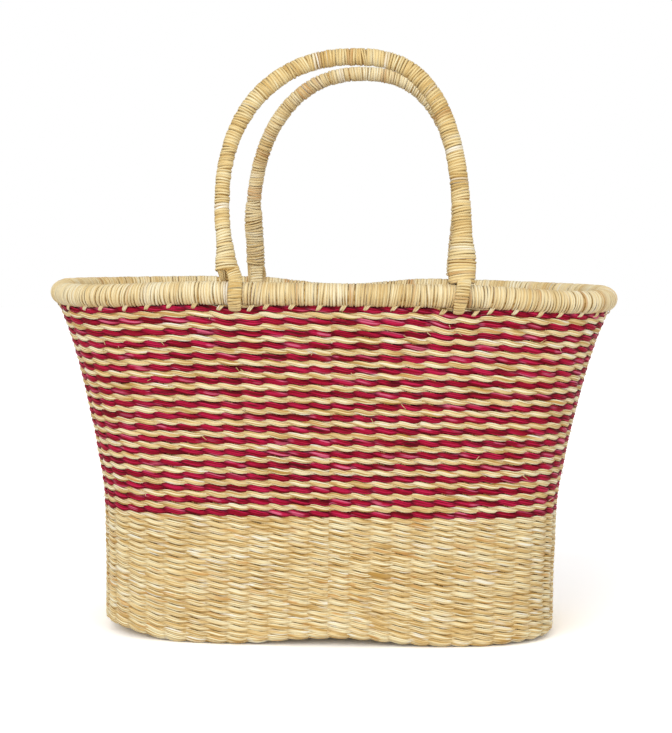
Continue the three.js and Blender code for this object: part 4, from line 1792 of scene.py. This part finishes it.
@dataclass
class Studio:
    """Camera, floor and light."""

    eye: Vector = field(default_factory=lambda: Vector((25 * MM, -1380 * MM, 289.5 * MM)))
    focal_pixels: float = 1820
    frame_height: float = 733
    pitch_down: float = math.radians(3.914)
    yaw_left: float = math.radians(0.945)
    roll: float = math.radians(0.75)
    sensor: float = 36
    floor_half: float = 6
    floor_colour: Colour = Colour(0.9, 0.89, 0.88)
    floor_white: float = 1.65
    sky_strength: float = 0.58
    lamp_size: float = math.radians(40)
    key_strength: float = 1.1
    key_from: Vector = field(default_factory=lambda: Vector((-0.5, -1.0, 0.6)))
    fill_strength: float = 0.95
    fill_from: Vector = field(default_factory=lambda: Vector((0.45, -1.0, 0.14)))

    def build(self) -> None:
        """Sets up the view, the floor and the light."""
        self.camera()
        self.floor()
        self.light()
        scene = bpy.context.scene
        scene.view_settings.view_transform = "Standard"

    def camera(self) -> None:
        """Stands the camera where the photograph was taken."""
        data = bpy.data.cameras.new("camera")
        data.sensor_width = self.sensor
        data.lens = self.sensor * self.focal_pixels / self.frame_height
        data.clip_start, data.clip_end = 0.05, 50
        camera = bpy.data.objects.new("camera", data)
        level = Matrix.Rotation(QUARTER_TURN - self.pitch_down, 4, "X")
        turned = Matrix.Rotation(self.yaw_left, 4, "Z") @ level @ Matrix.Rotation(self.roll, 4, "Z")
        camera.matrix_world = Matrix.Translation(self.eye) @ turned
        bpy.context.scene.collection.objects.link(camera)
        bpy.context.scene.camera = camera

    def floor(self) -> None:
        """Lays a pale floor that keeps the basket's shadow."""
        bm = bmesh.new()
        bmesh.ops.create_grid(bm, x_segments=1, y_segments=1, size=self.floor_half)
        mesh = bpy.data.meshes.new("floor")
        bm.to_mesh(mesh)
        bm.free()
        floor = bpy.data.objects.new("floor", mesh)
        bpy.context.scene.collection.objects.link(floor)
        material = bpy.data.materials.new("floor_paper")
        material.use_nodes = True
        sheet = ShaderSheet(material.node_tree)
        paper = sheet.node("ShaderNodeBsdfDiffuse")
        white = (self.floor_white, self.floor_white, self.floor_white, 1.0)
        sheet.put(sheet.blend(sheet.seen(), self.floor_colour.linear(), white), paper.inputs["Color"])
        output = sheet.node("ShaderNodeOutputMaterial")
        sheet.put(paper.outputs[0], output.inputs["Surface"])
        mesh.materials.append(material)

    def light(self) -> None:
        """Lights the basket with a white sky and two soft lamps."""
        world = bpy.data.worlds.new("studio")
        world.use_nodes = True
        sheet = ShaderSheet(world.node_tree)
        sky = sheet.node("ShaderNodeBackground")
        sky.inputs["Color"].default_value = (1, 1, 1, 1)
        strength = sheet.mapped(sheet.seen(), (0.0, 1.0), (self.sky_strength, 1.0))
        sheet.put(strength, sky.inputs["Strength"])
        output = sheet.node("ShaderNodeOutputWorld")
        sheet.put(sky.outputs[0], output.inputs["Surface"])
        bpy.context.scene.world = world
        self.lamp("key", self.key_strength, self.key_from)
        self.lamp("fill", self.fill_strength, self.fill_from)

    def lamp(self, name: str, strength: float, from_side: Vector) -> None:
        """Adds a soft lamp far away.

        Args:
            name: Name of the lamp.
            strength: Its strength.
            from_side: Direction that it shines from.
        """
        lamp = bpy.data.lights.new(name, "SUN")
        lamp.energy = strength
        lamp.angle = self.lamp_size
        holder = bpy.data.objects.new(name, lamp)
        holder.rotation_mode = "QUATERNION"
        holder.rotation_quaternion = from_side.to_track_quat("Z", "Y")
        bpy.context.scene.collection.objects.link(holder)


def hinge(name: str) -> tuple[Vector, Vector]:
    """Finds a handle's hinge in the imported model.

    Args:
        name: Name of the joint.

    Returns:
        A point on its axis and the axis.
    """
    joint = next(j for j in frame["joints"] if j["name"] == name)
    return Vector(joint["pos_m"]), Vector(joint["axis"])


def main() -> None:
    """Builds the studio and every part of the basket."""
    logging.basicConfig(level=logging.INFO, format="%(message)s")
    Studio().build()
    finishes = Finishes()
    rim_low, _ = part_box("rim_binding")
    oval = Oval()
    made = HandmadeSet()
    wall = WallSurface(oval, made, top=rim_low.z - RIM_GAP)
    Weave(wall, finishes).build()
    Stakes(wall, finishes).build()
    front_pivot, front_axis = hinge("front_handle_swing")
    rear_pivot, rear_axis = hinge("rear_handle_swing")
    rim = Rim(wall, finishes, axis_height=front_pivot.z)
    rim.build()
    StitchSet(wall, finishes).build()
    CutEnds(wall, finishes).build()
    Handle("front_handle", Body.FRONT, front_pivot, front_axis, FRONT_FORM, rim, finishes, seed=30).build()
    Handle("rear_handle", Body.REAR, rear_pivot, rear_axis, REAR_FORM, rim, finishes, seed=44).build()


if __name__ == "__main__":
    main()
